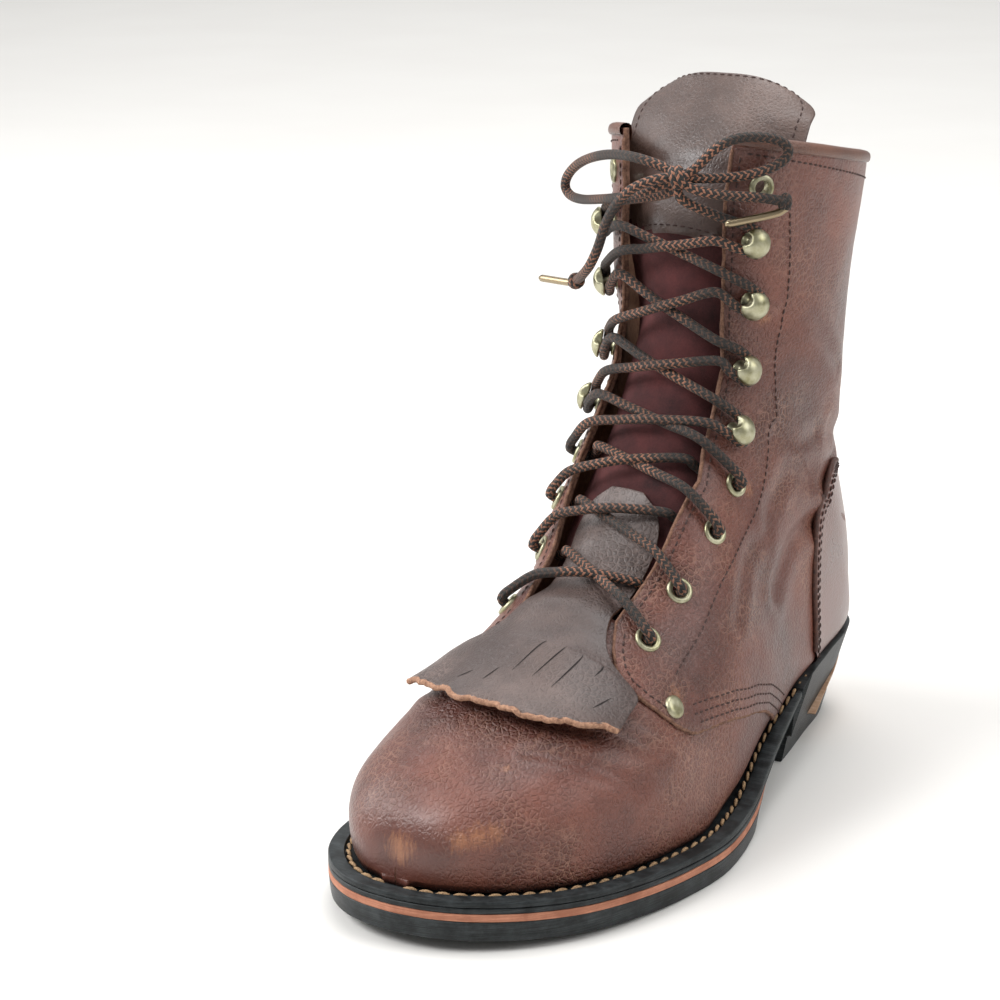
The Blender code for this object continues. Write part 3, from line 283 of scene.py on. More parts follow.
def tube_mesh(name, route, radius, sides=14, tip=0.55):
    """A round cord along the route, with a map that runs round it and along it in diameters."""
    spots = np.asarray(route, float)
    run = run_of(spots)
    heading = unit(np.gradient(spots, axis=0))
    across = unit(np.cross(heading[0], [0.3, 0.2, 1.0]))
    points, maps = [], []
    for spot, ahead, length in zip(spots, heading, run):
        across = unit(across - ahead * np.dot(across, ahead))
        beside = np.cross(ahead, across)
        near_end = min(length, run[-1] - length)
        thick = radius * (1 - (1 - tip) * max(0.0, 1 - near_end / (0.5 * radius)) ** 2)
        for k in range(sides):
            turn = 2 * math.pi * k / sides
            points.append(spot + thick * (math.cos(turn) * across + math.sin(turn) * beside))
        maps.append(length / (2 * radius))
    faces = ring_faces(0, len(spots), sides)
    corners = []
    for near_row, far_row in zip(maps[:-1], maps[1:]):
        for k in range(sides):
            left, right = k / sides, (k + 1) / sides
            corners += [(left, near_row), (right, near_row), (right, far_row), (left, far_row)]
    for first in (0, (len(spots) - 1) * sides):
        faces.append(tuple(range(first, first + sides))[:: -1 if first == 0 else 1])
        corners += [(0.0, 0.0)] * sides
    mesh = bpy.data.meshes.new(name)
    mesh.from_pydata([tuple(p) for p in points], [], faces)
    layer = mesh.uv_layers.new(name="braid")
    layer.data.foreach_set("uv", np.asarray(corners, np.float32).ravel())
    return mesh


def braided_lace():
    """Braided polyester: rows of short slanted strands, most of them black, some copper."""
    material, tree, shader = new_material("braided polyester", 0.72)
    shader.inputs["Sheen Weight"].default_value = 0.05
    chart = add_node(tree, "SeparateXYZ", (add_node(tree, "UVMap", uv_map="braid")[0],))
    column = add_node(tree, "Math", (chart[0], LACE_STRANDS), operation="MULTIPLY")[0]
    half = add_node(tree, "Math", (column, 1.0), operation="PINGPONG")[0]
    row = add_node(tree, "Math", (chart[1], LACE_CELLS, half), operation="MULTIPLY_ADD")[0]
    row_share = add_node(tree, "Math", (row,), operation="FRACT")[0]
    row_arch = add_node(tree, "Math", (row_share, 0.5), operation="PINGPONG")[0]
    column_arch = add_node(tree, "Math", (column, 0.5), operation="PINGPONG")[0]
    swell = add_node(tree, "Math", (row_arch, column_arch), operation="MULTIPLY")[0]
    row_count = add_node(tree, "Math", (row,), operation="FLOOR")[0]
    column_count = add_node(tree, "Math", (column,), operation="FLOOR")[0]
    picked = add_node(tree, "Math", (column_count, 2.0, row_count), operation="MULTIPLY_ADD")[0]
    every = add_node(tree, "Math", (picked, 3.0), operation="FLOORED_MODULO")[0]
    fleck = add_node(tree, "Math", (every, 0.5), operation="LESS_THAN")[0]
    spots = add_node(tree, "TexCoord")["Object"]
    turn = add_node(tree, "TexNoise", {"Vector": spots, "Scale": 38.0, "Detail": 1.0})[0]
    often = add_node(tree, "MapRange", (turn, 0.42, 0.58, 0.15, 0.95))[0]
    share = add_node(tree, "Math", (fleck, often), operation="MULTIPLY")[0]
    paint(tree, shader, share, "#191613", "#93624a", swell, 0.9, 0.0012)
    return material


def coil(centre, axis, radius, turns, pitch):
    """A short coil of lace about a point, which reads as a pulled knot."""
    axis = Vector(axis).normalized()
    across = axis.orthogonal().normalized()
    beside = axis.cross(across)
    route = []
    for k in range(int(turns * 14) + 1):
        turn = 2 * math.pi * k / 14
        share = k / (turns * 14) - 0.5
        around_it = (across * math.cos(turn) + beside * math.sin(turn)) * radius
        spot = Vector(centre) + axis * (share * pitch) + around_it
        route.append(tuple(spot))
    return route


BRAID = braided_lace()
tip_metal, tree, shader = new_material("crimped brass tip", 0.32, 1.0)
scratches = add_node(tree, "TexNoise", {"Scale": 400.0, "Detail": 3.0})[0]
paint(tree, shader, scratches, "#6f6250", "#b3a284")

knot_centre = by_collar(*KNOT_PLACE)
knot_route = smooth_route(coil(knot_centre, (1.0, 0.35, 0.25), 0.0026, 1.6, 0.0030), KNOT_STEP)
knot_back = smooth_route(coil(knot_centre, (0.1, 0.5, 1.0), 0.0024, 1.2, 0.0044), KNOT_STEP)
knot = link("bow_knot_wrap", tube_mesh("bow_knot_wrap", knot_route, LACE_DIAMETER / 2), [BRAID])
knot_inner = link("bow_knot_core", tube_mesh("bow_knot_core", knot_back, LACE_DIAMETER / 2), [BRAID])
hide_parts("bow_knot")
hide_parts("bow_knot")

def lace_run(name, route, start, end, nodes):
    """One loop or free end of the lace along its route, from and to the given points."""
    even = evened(np.array(smooth_route([start] + route + [end], ROUTE_STEP)), ROUTE_ROUNDS)
    path = [tuple(spot) for spot in even]
    piece = link(name, tube_mesh(name, path, LACE_DIAMETER / 2), [BRAID])
    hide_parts(*nodes)
    return piece, path, float(run_of(even)[-1])


for side, table in (("lateral", BOW_RIGHT), ("medial", BOW_LEFT)):
    spots = [by_collar(*spot) for spot in table]
    piece, path, length = lace_run(f"bow_{side}", spots, knot_centre, knot_centre, [f"bow_loop_{side}"])
for side, table, end_place, tip_line in (
    ("lateral", TAIL_RIGHT, END_KNOT_RIGHT, AGLET_RIGHT),
    ("medial", TAIL_LEFT, END_KNOT_LEFT, AGLET_LEFT),
):
    end_centre = by_collar(*end_place)
    spots = [by_collar(*spot) for spot in table]
    heading = (spots[-1] - spots[-2]).normalized()
    piece, path, length = lace_run(f"tail_{side}", spots, knot_centre, end_centre, [f"lace_tail_{side}"])
    knot_coil = smooth_route(coil(end_centre, heading, 0.0017, 1.7, 0.0026), KNOT_STEP)
    knot_mesh = tube_mesh(f"tail_knot_{side}", knot_coil, END_KNOT_THREAD)
    end_knot = link(f"tail_knot_{side}", knot_mesh, [BRAID])
    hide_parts(f"end_knot_{side}")
    tip_spots = [by_collar(*spot) for spot in tip_line]
    tip_route = smooth_route([end_centre] + tip_spots, 0.0012)
    metal_tip = link(f"tip_{side}", tube_mesh(f"tip_{side}", tip_route, TIP_RADIUS), [tip_metal])
    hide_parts(f"aglet_{side}")


# The upper: pebbled, oiled brown leather about 2 mm thick, cut as a vamp and two quarters. The
# quarters are stitched over the vamp, so that their raw tan edge stands 1.2 mm proud of it.
BALL_WIDTH = 0.116
TOE_SPRING = 0.0050
HEEL_RISE = 0.0225
OUTSOLE_THICKNESS = 0.0070
SLIP_THICKNESS = 0.0026
MIDSOLE_THICKNESS = 0.0020
WELT_THICKNESS = 0.0024
WELT_SHELF = 0.0090
HEEL_SHELF = 0.0030
STACK = OUTSOLE_THICKNESS + SLIP_THICKNESS + MIDSOLE_THICKNESS + WELT_THICKNESS
WALL = 0.0022
LAST_BULGE = 0.0015
PANEL_STEP = 0.0012
FOOT_GAP = 0.0013
SECTION_STEPS = 40
OUTLINE_STEPS = 8
LINES_FROM = 0.19
HEEL_SECTION = 16
COLLAR_SECTION = 24
SIDES = (("lateral", 1), ("medial", -1))
OUTLINE = (
    # along, medial, lateral
    (0.000, -0.140, -0.140),
    (0.005, -0.252, -0.028),
    (0.018, -0.342, 0.066),
    (0.048, -0.416, 0.152),
    (0.100, -0.443, 0.208),
    (0.170, -0.430, 0.246),
    (0.250, -0.392, 0.292),
    (0.340, -0.352, 0.338),
    (0.434, -0.346, 0.388),
    (0.528, -0.388, 0.450),
    (0.625, -0.452, 0.500),
    (0.710, -0.493, 0.490),
    (0.786, -0.500, 0.455),
    (0.861, -0.469, 0.392),
    (0.919, -0.408, 0.300),
    (0.962, -0.322, 0.190),
    (0.987, -0.235, 0.083),
    (0.998, -0.150, -0.018),
    (1.000, -0.082, -0.082),
)
SECTIONS = (
    # low_along, low_up, top_along, top_up, wide, lean, waist, round_low, round_top, twist, middle
    (0.969, 0.000, 0.969, 0.016, 0.000, 0.000, 0.40, 2.00, 2.00, 0.00, -0.083),
    (0.966, 0.000, 0.968, 0.047, 0.000, 0.000, 0.40, 2.00, 2.20, 0.00, -0.073),
    (0.957, 0.000, 0.962, 0.076, 0.000, 0.000, 0.38, 2.00, 2.30, 0.00, -0.071),
    (0.940, 0.000, 0.947, 0.105, 0.000, 0.000, 0.36, 2.00, 2.40, 0.00, -0.066),
    (0.912, 0.000, 0.919, 0.136, 0.000, 0.000, 0.34, 2.00, 2.40, 0.00, -0.057),
    (0.871, 0.000, 0.878, 0.166, 0.000, 0.000, 0.32, 2.00, 2.40, 0.00, -0.045),
    (0.816, 0.000, 0.826, 0.196, 0.000, 0.000, 0.30, 2.00, 2.30, 0.00, -0.032),
    (0.750, 0.000, 0.768, 0.233, 0.000, 0.000, 0.30, 2.00, 2.20, 0.00, -0.020),
    (0.675, 0.000, 0.711, 0.278, 0.000, 0.000, 0.30, 2.00, 2.10, 0.00, -0.014),
    (0.589, 0.000, 0.651, 0.330, 0.000, 0.000, 0.32, 2.00, 2.10, 0.02, -0.012),
    (0.499, 0.000, 0.594, 0.380, 0.379, 0.017, 0.35, 2.00, 2.10, 0.04, -0.013),
    (0.406, 0.000, 0.549, 0.423, 0.375, -0.004, 0.38, 2.00, 2.30, 0.05, -0.019),
    (0.310, 0.000, 0.515, 0.461, 0.358, -0.013, 0.42, 2.00, 2.30, 0.05, -0.023),
    (0.213, 0.000, 0.489, 0.507, 0.353, -0.009, 0.45, 2.10, 2.30, 0.05, -0.026),
    (0.120, 0.000, 0.470, 0.558, 0.349, -0.004, 0.46, 2.30, 2.30, 0.05, -0.026),
    (0.048, 0.000, 0.458, 0.609, 0.345, 0.000, 0.46, 2.50, 2.20, 0.05, -0.026),
    (0.010, 0.000, 0.451, 0.652, 0.345, 0.000, 0.46, 2.60, 2.20, 0.05, -0.026),
    (0.0025, 0.086, 0.447, 0.688, 0.328, 0.000, 0.48, 2.10, 2.20, 0.05, -0.026),
    (0.0135, 0.170, 0.444, 0.724, 0.310, 0.000, 0.50, 1.95, 2.20, 0.05, -0.027),
    (0.0400, 0.272, 0.441, 0.762, 0.315, 0.000, 0.50, 1.95, 2.20, 0.05, -0.027),
    (0.059, 0.385, 0.439, 0.804, 0.336, 0.000, 0.50, 2.10, 2.20, 0.05, -0.027),
    (0.065, 0.503, 0.437, 0.849, 0.345, 0.000, 0.50, 2.10, 2.20, 0.05, -0.027),
    (0.059, 0.631, 0.434, 0.897, 0.353, 0.000, 0.50, 2.10, 2.20, 0.05, -0.028),
    (0.046, 0.759, 0.432, 0.947, 0.366, 0.000, 0.50, 2.10, 2.20, 0.05, -0.028),
    (0.034, 0.887, 0.430, 1.000, 0.379, 0.000, 0.50, 2.10, 2.20, 0.05, -0.028),
)
SHAFT_MIDDLE = (
    # up from the sole's top as a share of the shaft, middle
    (0.00, -0.133),
    (0.09, -0.114),
    (0.27, -0.093),
    (0.40, -0.078),
    (1.00, -0.074),
)
FACING_EDGE = (
    # section, around
    (0.0, 0.190),
    (11.3, 0.190),
    (12.2, 0.200),
    (13.0, 0.170),
    (14.0, 0.150),
    (16.4, 0.120),
    (19.0, 0.130),
    (22.0, 0.135),
    (24.0, 0.145),
)
QUARTER_EDGE = (
    # around, section
    (0.000, 8.90),
    (0.190, 8.90),
    (0.235, 8.45),
    (0.290, 8.15),
    (0.360, 8.00),
    (0.440, 8.05),
    (0.520, 8.20),
    (0.590, 8.40),
    (0.645, 8.70),
    (0.700, 9.75),
    (0.770, 10.40),
    (0.840, 10.80),
    (0.910, 11.05),
    (0.960, 11.20),
    (1.000, 11.30),
)
EYELETS = (
    # lateral section, lateral around, medial section, medial around
    (9.00, 0.305, 9.10, 0.305),
    (10.10, 0.285, 10.40, 0.290),
    (11.50, 0.300, 11.40, 0.270),
    (12.90, 0.285, 12.80, 0.270),
    (22.80, 0.215, 22.80, 0.215),
)
HOOKS = (
    # lateral section, lateral around, medial section, medial around
    (14.10, 0.205, 14.40, 0.220),
    (16.45, 0.160, 16.65, 0.180),
    (19.40, 0.197, 19.55, 0.220),
    (21.20, 0.195, 21.30, 0.212),
)
FORM_ROWS = 481
FORM_COLUMNS = 241
EYELET_CLEAR = 0.0031
FOOT_TUCK = 0.0026
TUCK_IN = 0.0008
VAMP_WALL = 0.0018
CREASES = (
    # depth and width in mm, then the crease's points as section, around
    (0.9, 4.5, (12.2, 0.62), (13.6, 0.56), (15.2, 0.60), (16.9, 0.74)),
    (0.7, 4.0, (13.2, 0.42), (14.8, 0.40), (16.6, 0.50), (18.2, 0.66)),
    (1.1, 4.5, (17.0, 1.00), (17.6, 0.84), (17.2, 0.66), (16.4, 0.52)),
    (0.6, 3.5, (18.9, 0.96), (19.3, 0.80), (18.8, 0.62)),
    (0.5, 3.0, (15.4, 0.30), (16.3, 0.36), (17.6, 0.48)),
    (0.4, 3.0, (19.8, 0.30), (20.3, 0.45), (20.2, 0.62)),
    (0.5, 3.2, (10.7, 0.50), (11.7, 0.44), (12.8, 0.46)),
    (0.5, 3.0, (7.7, 0.62), (7.2, 0.48), (6.6, 0.30), (6.3, 0.05)),
    (0.4, 2.6, (7.0, 0.70), (6.3, 0.52), (5.7, 0.30)),
    (1.0, 4.5, (17.0, -1.00), (17.6, -0.84), (17.1, -0.66), (16.3, -0.50)),
    (0.8, 4.2, (13.0, -0.44), (14.6, -0.44), (16.4, -0.56), (18.0, -0.70)),
    (0.6, 3.5, (18.9, -0.96), (19.4, -0.78), (19.0, -0.60)),
    (0.6, 3.4, (12.4, -0.66), (13.8, -0.60), (15.4, -0.66)),
    (0.5, 3.0, (7.7, -0.62), (7.2, -0.46), (6.6, -0.28)),
    (0.4, 2.8, (20.0, -0.34), (20.5, -0.50), (20.3, -0.66)),
)


def smooth(share):
    """Soft step from 0 to 1."""
    share = np.clip(share, 0, 1)
    return share * share * (3 - 2 * share)


def read_table(table, at, column=1):
    """One column of a table, read along its first column."""
    rows = np.asarray(table, float)
    return np.interp(at, rows[:, 0], rows[:, column])


def tread(along):
    """Height of the sole's underside, without the heel."""
    share = np.asarray(along, float) / SOLE_LENGTH
    spring = TOE_SPRING * np.clip((share - 0.66) / 0.34, 0, 1) ** 1.7
    return spring + HEEL_RISE * smooth((0.57 - share) / 0.33)


def sole_top(along):
    return tread(along) + STACK


def feather_inset(along):
    """How far the upper's lower edge stands inside the sole's edge."""
    forward = smooth((np.asarray(along) / SOLE_LENGTH - 0.22) / 0.22)
    return HEEL_SHELF + (WELT_SHELF - HEEL_SHELF) * forward


def waist_inset(along):
    """The outsole is trimmed under the waist, from the heel breast to the ball."""
    return WAIST_BEVEL * smooth((0.53 - np.asarray(along) / SOLE_LENGTH) / 0.17)


def no_inset(along):
    return np.zeros_like(along)


def outline_loop(inset):
    """The sole's edge as one loop, lateral heel to toe and back on the medial side, moved inwards."""
    at = np.linspace(0, len(OUTLINE) - 1, (len(OUTLINE) - 1) * OUTLINE_STEPS + 1)
    rows = read_curve(OUTLINE, at) * [SOLE_LENGTH, BALL_WIDTH, BALL_WIDTH]
    loop = np.concatenate([rows[:, [0, 2]], rows[:, [0, 1]][::-1][1:-1]])
    tangent = unit(np.roll(loop, -1, 0) - np.roll(loop, 1, 0))
    normal = np.stack([-tangent[:, 1], tangent[:, 0]], -1)
    return loop - normal * np.asarray(inset(loop[:, 0]))[:, None], len(at)


def outline_sides(inset):
    """The medial and the lateral line of the moved outline, each from heel to toe."""
    loop, count = outline_loop(inset)
    medial = np.concatenate([loop[:1], loop[count - 1 :][::-1]])
    return medial, loop[:count]


FEATHER_SIDES = outline_sides(feather_inset)


def foot_line(along):
    """Middle and half width of the upper's lower edge at a place along the sole."""
    medial = np.interp(along, FEATHER_SIDES[0][:, 0], FEATHER_SIDES[0][:, 1])
    lateral = np.interp(along, FEATHER_SIDES[1][:, 0], FEATHER_SIDES[1][:, 1])
    return (medial + lateral) / 2, (lateral - medial) / 2


def section_rows():
    """The table of sections as lengths: foot, top, middles, half widths and rounds of each."""
    rows = []
    shaft = COLLAR_HEIGHT - float(sole_top(SECTIONS[COLLAR_SECTION][0] * SOLE_LENGTH))
    for number, row in enumerate(SECTIONS):
        low_along, low_up, top_along, top_up, wide, lean, waist, low_power, top_power, twist, middle = row
        along = low_along * SOLE_LENGTH
        ground = float(sole_top(along)) + FOOT_GAP
        low_z = ground + low_up * shaft
        top_z = ground + top_up * (COLLAR_HEIGHT - ground)
        low_middle, low_half = foot_line(along)
        top_middle = middle * BALL_WIDTH
        closed = number >= HEEL_SECTION
        if closed:
            low_middle = read_table(SHAFT_MIDDLE, low_up) * BALL_WIDTH
            low_half = 0.0
        if number == 0:
            low_half = 0.0
            top_middle = low_middle
        half = wide * BALL_WIDTH if wide else low_half + LAST_BULGE * (number > 0)
        heights = (low_z, top_along * SOLE_LENGTH, top_z)
        middles = (low_middle, top_middle, low_half, half, lean * BALL_WIDTH)
        rows.append((along, *heights, *middles, waist, low_power, top_power, twist))
    return np.array(rows)


SECTION_LENGTHS = section_rows()
SECTION_CACHE = {}


def section_side(number, side):
    """One side of a section from its top down: its points and how far round each one is."""
    key = (round(float(number), 5), side)
    if key in SECTION_CACHE:
        return SECTION_CACHE[key]
    row = read_curve(SECTION_LENGTHS, number)
    along, low_z, top_along, top_z, low_x, top_x, foot, half, lean, waist, power_low, power_top, twist = row
    if 0 < number < HEEL_SECTION:
        low_x, foot = foot_line(along)
    angle = np.linspace(0, math.pi / 2, SECTION_STEPS)
    low_out = foot + (half - foot) * np.sin(angle) ** (2 / power_low)
    low_up = waist * (1 - np.cos(angle) ** (2 / power_low))
    top_out = half * np.cos(angle) ** (2 / power_top)
    top_up = waist + (1 - waist) * np.sin(angle) ** (2 / power_top)
    out = np.concatenate([low_out, top_out[1:]])
    up = np.concatenate([low_up, top_up[1:]])
    offset = side * out + lean * np.sin(math.pi * np.clip(up, 0, 1))
    x = low_x + (top_x - low_x) * up + offset
    forward = along + (top_along - along) * up + twist * offset
    z = low_z + (top_z - low_z) * up
    points = np.stack([x, SOLE_LENGTH / 2 - forward, z], -1)[::-1]
    run = run_of(points)
    SECTION_CACHE[key] = (points, run / max(run[-1], 1e-9))
    return SECTION_CACHE[key]


def facing_edge(number):
    return float(read_table(FACING_EDGE, number))


def grid_normals(points):
    """Unit normals of a grid of points."""
    normals = np.cross(np.gradient(points, axis=1), np.gradient(points, axis=0))
    return normals / np.maximum(np.linalg.norm(normals, axis=2), 1e-12)[..., None]


def read_form():
    """Points and outward normals of the upper's face on an even grid of section and way round."""
    numbers = np.linspace(0, COLLAR_SECTION, FORM_ROWS)
    ways = np.linspace(-1, 1, FORM_COLUMNS)
    points = np.zeros((FORM_ROWS, FORM_COLUMNS, 3))
    for i, number in enumerate(numbers):
        for side, pick in ((-1, ways < 0), (1, ways >= 0)):
            spots, run = section_side(number, side)
            for k in range(3):
                points[i, pick, k] = np.interp(np.abs(ways[pick]), run, spots[:, k])
    normals = grid_normals(points)
    normals[:3] = normals[3]
    closed = numbers > HEEL_SECTION
    middle = unit(normals[closed, 0] + normals[closed, -1])
    normals[closed, 0] = middle
    normals[closed, -1] = middle
    return points, normals


FORM, FORM_NORMALS = read_form()


def on_form(number, around, out=0.0):
    """Points off the upper's face by the given distance, and the normals there."""
    number, around, out = np.broadcast_arrays(*(np.asarray(v, float) for v in (number, around, out)))
    row = np.clip(number / COLLAR_SECTION * (FORM_ROWS - 1), 0, FORM_ROWS - 1.001)
    column = np.clip((around + 1) / 2 * (FORM_COLUMNS - 1), 0, FORM_COLUMNS - 1.001)
    i, j = row.astype(int), column.astype(int)
    f, g = (row - i)[..., None], (column - j)[..., None]
    read = []
    for grid in (FORM, FORM_NORMALS):
        low = grid[i, j] * (1 - g) + grid[i, j + 1] * g
        high = grid[i + 1, j] * (1 - g) + grid[i + 1, j + 1] * g
        read.append(low * (1 - f) + high * f)
    points, normals = read
    normals = normals / np.maximum(np.linalg.norm(normals, axis=-1), 1e-9)[..., None]
    return points + normals * out[..., None], normals


def girth(number, side):
    """Length of one side of a section, from the front centre to the foot."""
    spots, _ = section_side(float(number), side)
    return float(run_of(section_side(float(number), side)[0])[-1])


def quarter_lift(number, around):
    """How far the quarter stands proud of the vamp's surface."""
    edge = read_table(QUARTER_EDGE, np.abs(around))
    return PANEL_STEP * (1 - smooth((np.asarray(number) - edge) / (HEEL_SECTION - edge)))


def waves(points, scale):
    """A smooth random value from -1 to 1 at each point, with so many swings a metre."""
    flat = [noise.noise(Vector(p) * scale) for p in points.reshape(-1, 3)]
    return np.array(flat).reshape(points.shape[:-1])


def crease_lines():
    lines = []
    for depth, width, *spots in CREASES:
        way = read_curve(spots, np.linspace(0, len(spots) - 1, 16))
        lines.append((depth / 1000, width / 1000, on_form(way[:, 0], way[:, 1])[0]))
    return lines


CREASE_LINES = crease_lines()


def relief(points):
    """Soft troughs with a low ridge beside each, and the slight waviness of worn leather."""
    flat = points.reshape(-1, 3)
    moved = np.zeros(len(flat))
    for depth, width, line in CREASE_LINES:
        away = np.full(len(flat), 1e9)
        for a, b in zip(line[:-1], line[1:]):
            along = np.clip((flat - a) @ (b - a) / np.dot(b - a, b - a), 0, 1)
            away = np.minimum(away, np.linalg.norm(flat - a - along[:, None] * (b - a), axis=1))
        moved -= 1.5 * depth * np.exp(-((away / width) ** 2))
        moved += 0.7 * depth * np.exp(-(((away - 2.0 * width) / width) ** 2))
    moved += waves(flat, 42.0) * 0.00045 + waves(flat, 130.0) * 0.00014
    return moved.reshape(points.shape[:-1])


def near_spots(points, spots):
    """1 at the given spots of the upper, falling to 0 at each one's reach."""
    flat = points.reshape(-1, 3)
    most = np.zeros(len(flat))
    for number, around, reach in spots:
        centre = on_form(number, around)[0]
        most = np.maximum(most, np.clip(1 - np.linalg.norm(flat - centre, axis=1) / reach, 0, 1))
    return most.reshape(points.shape[:-1])


def grid_mesh(name, points, marks=None, drop=None, flip=False):
    """A smooth sheet from a grid of points, with named marks for its materials at each point."""
    rows, columns = points.shape[:2]
    index = np.arange(rows * columns).reshape(rows, columns)
    quads = np.stack([index[:-1, :-1], index[:-1, 1:], index[1:, 1:], index[1:, :-1]], -1).reshape(-1, 4)
    if flip:
        quads = quads[:, ::-1]
    if drop is not None:
        centre = points.reshape(-1, 3)[quads].mean(axis=1)
        quads = quads[~drop(centre)]
    mesh = bpy.data.meshes.new(name)
    mesh.from_pydata(points.reshape(-1, 3).tolist(), [], quads.tolist())
    for mark, values in (marks or {}).items():
        layer = mesh.attributes.new(mark, "FLOAT", "POINT")
        layer.data.foreach_set("value", np.ascontiguousarray(values, np.float32).ravel())
    work = bmesh.new()
    work.from_mesh(mesh)
    bmesh.ops.remove_doubles(work, verts=work.verts, dist=1e-6)
    bmesh.ops.delete(work, geom=[v for v in work.verts if not v.link_faces], context="VERTS")
    work.to_mesh(mesh)
    work.free()
    return mesh


def thicken(piece, thickness, lining=0, rim=0):
    """Gives a sheet its real thickness on the inside, with the lining's and the cut edge's materials."""
    wall = piece.modifiers.new("thickness", "SOLIDIFY")
    wall.thickness = thickness
    wall.offset = -1.0
    wall.material_offset = lining
    wall.material_offset_rim = rim


def pebbled_leather(name, dark, main, light, line, pebble, depth, gloss, worn="#a46f4c"):
    """Oiled leather with pebbled grain: pale lines between the pebbles, scuffs, dirt and painted shade."""
    material, tree, shader = new_material(name, gloss)
    shader.inputs["Coat Weight"].default_value = 0.32
    shader.inputs["Coat Roughness"].default_value = 0.34
    shader.inputs["Specular IOR Level"].default_value = 0.45
    spots = add_node(tree, "TexCoord")["Object"]
    bend = add_node(tree, "TexNoise", {"Vector": spots, "Scale": 210.0, "Detail": 2.0})[1]
    swing = (0.0016, 0.0016, 0.0016)
    shift = add_node(tree, "VectorMath", (bend, swing, spots), operation="MULTIPLY_ADD")[0]
    large_cells = {"Vector": shift, "Scale": 1 / pebble}
    small_cells = {"Vector": shift, "Scale": 2.3 / pebble}
    pebbles = add_node(tree, "TexVoronoi", large_cells, feature="DISTANCE_TO_EDGE")[0]
    small = add_node(tree, "TexVoronoi", small_cells, feature="DISTANCE_TO_EDGE")[0]
    plump = add_node(tree, "MapRange", (pebbles, 0.0, 0.30), interpolation_type="SMOOTHSTEP")[0]
    plump_small = add_node(tree, "MapRange", (small, 0.0, 0.32), interpolation_type="SMOOTHSTEP")[0]
    grain = add_node(tree, "Math", (plump_small, 0.35, plump), operation="MULTIPLY_ADD")[0]
    calm = add_node(tree, "Attribute", attribute_name="smooth_area")["Fac"]
    patch_noise = {"Vector": spots, "Scale": 34.0, "Detail": 5.0, "Roughness": 0.6}
    patches = add_node(tree, "TexNoise", patch_noise)[0]
    deep = add_node(tree, "MapRange", (patches, 0.30, 0.68, 0.35, 1.0))[0]
    rough_share = add_node(tree, "Math", (1.0, calm), operation="SUBTRACT")[0]
    strength = add_node(tree, "Math", (rough_share, deep), operation="MULTIPLY")[0]
    fine = add_node(tree, "TexNoise", {"Vector": spots, "Scale": 1900.0, "Detail": 2.0})[0]
    height = add_node(tree, "Math", (grain, strength), operation="MULTIPLY")[0]
    height_all = add_node(tree, "Math", (fine, 0.10, height), operation="MULTIPLY_ADD")[0]
    bump = add_node(tree, "Bump", {"Strength": 1.0, "Distance": depth, "Height": height_all})[0]
    tree.links.new(bump, shader.inputs["Normal"])

    tone_noise = {"Vector": spots, "Scale": 19.0, "Detail": 6.0, "Roughness": 0.62}
    tone = add_node(tree, "TexNoise", tone_noise)[0]
    tone_share = add_node(tree, "MapRange", (tone, 0.30, 0.70))[0]
    colour = add_node(tree, "ValToRGB", (tone_share,))[0]
    ramp = colour.node.color_ramp
    ramp.elements[0].color = linear(dark)
    ramp.elements[1].color = linear(light)
    ramp.elements.new(0.5).color = linear(main)
    gap = add_node(tree, "MapRange", (pebbles, 0.0, 0.14, 1.0, 0.0))[0]
    gap_where = add_node(tree, "MapRange", (patches, 0.44, 0.62))[0]
    gap_share = add_node(tree, "Math", (gap, gap_where), operation="MULTIPLY")[0]
    gap_soft = add_node(tree, "Math", (gap_share, rough_share), operation="MULTIPLY")[0]
    gap_most = add_node(tree, "Math", (gap_soft, 0.5), operation="MULTIPLY")[0]
    # This mark's dark mix (#2c1a19) is real dirt on some pieces and painted shade on others: under the kiltie
    # flap, in the tongue's fold, across the kiltie.
    dirt_and_shade = add_node(tree, "Attribute", attribute_name="dirt_and_shade")["Fac"]
    dirt_and_shade_share = add_node(tree, "Math", (dirt_and_shade, deep), operation="MULTIPLY")[0]
    scuff = add_node(tree, "Attribute", attribute_name="scuff")["Fac"]
    scrape = add_node(tree, "Mapping", {"Vector": spots, "Scale": (1100.0, 1100.0, 110.0)})[0]
    scrape_noise = {"Vector": scrape, "Scale": 1.0, "Detail": 5.0, "Roughness": 0.7}
    scraped = add_node(tree, "TexNoise", scrape_noise)[0]
    scuff_edge = add_node(tree, "Math", (scuff, 0.62, scraped), operation="MULTIPLY_ADD")[0]
    scuff_share = add_node(tree, "MapRange", (scuff_edge, 0.76, 1.10, 0.0, 0.55))[0]
    for share, code in ((gap_most, line), (dirt_and_shade_share, "#2c1a19"), (scuff_share, worn)):
        colour = add_node(tree, "Mix", {0: share, 6: colour, 7: linear(code)}, data_type="RGBA")[2]
    tree.links.new(colour, shader.inputs["Base Color"])
    matt = add_node(tree, "MapRange", (tone, 0.3, 0.7, gloss - 0.10, gloss + 0.14))[0]
    sleek = add_node(tree, "Math", (calm, -0.13, matt), operation="MULTIPLY_ADD")[0]
    tree.links.new(sleek, shader.inputs["Roughness"])
    return material


def plain_leather(name, dark, light, roughness, scale, depth=0.0003):
    """Leather seen at a cut edge or on its flesh side: fibres without grain."""
    material, tree, shader = new_material(name, roughness)
    spots = add_node(tree, "TexCoord")["Object"]
    fibre_noise = {"Vector": spots, "Scale": scale, "Detail": 6.0, "Roughness": 0.7}
    fibre = add_node(tree, "TexNoise", fibre_noise)[0]
    share = add_node(tree, "MapRange", (fibre, 0.32, 0.68))[0]
    paint(tree, shader, share, dark, light, fibre, 0.8, depth)
    return material


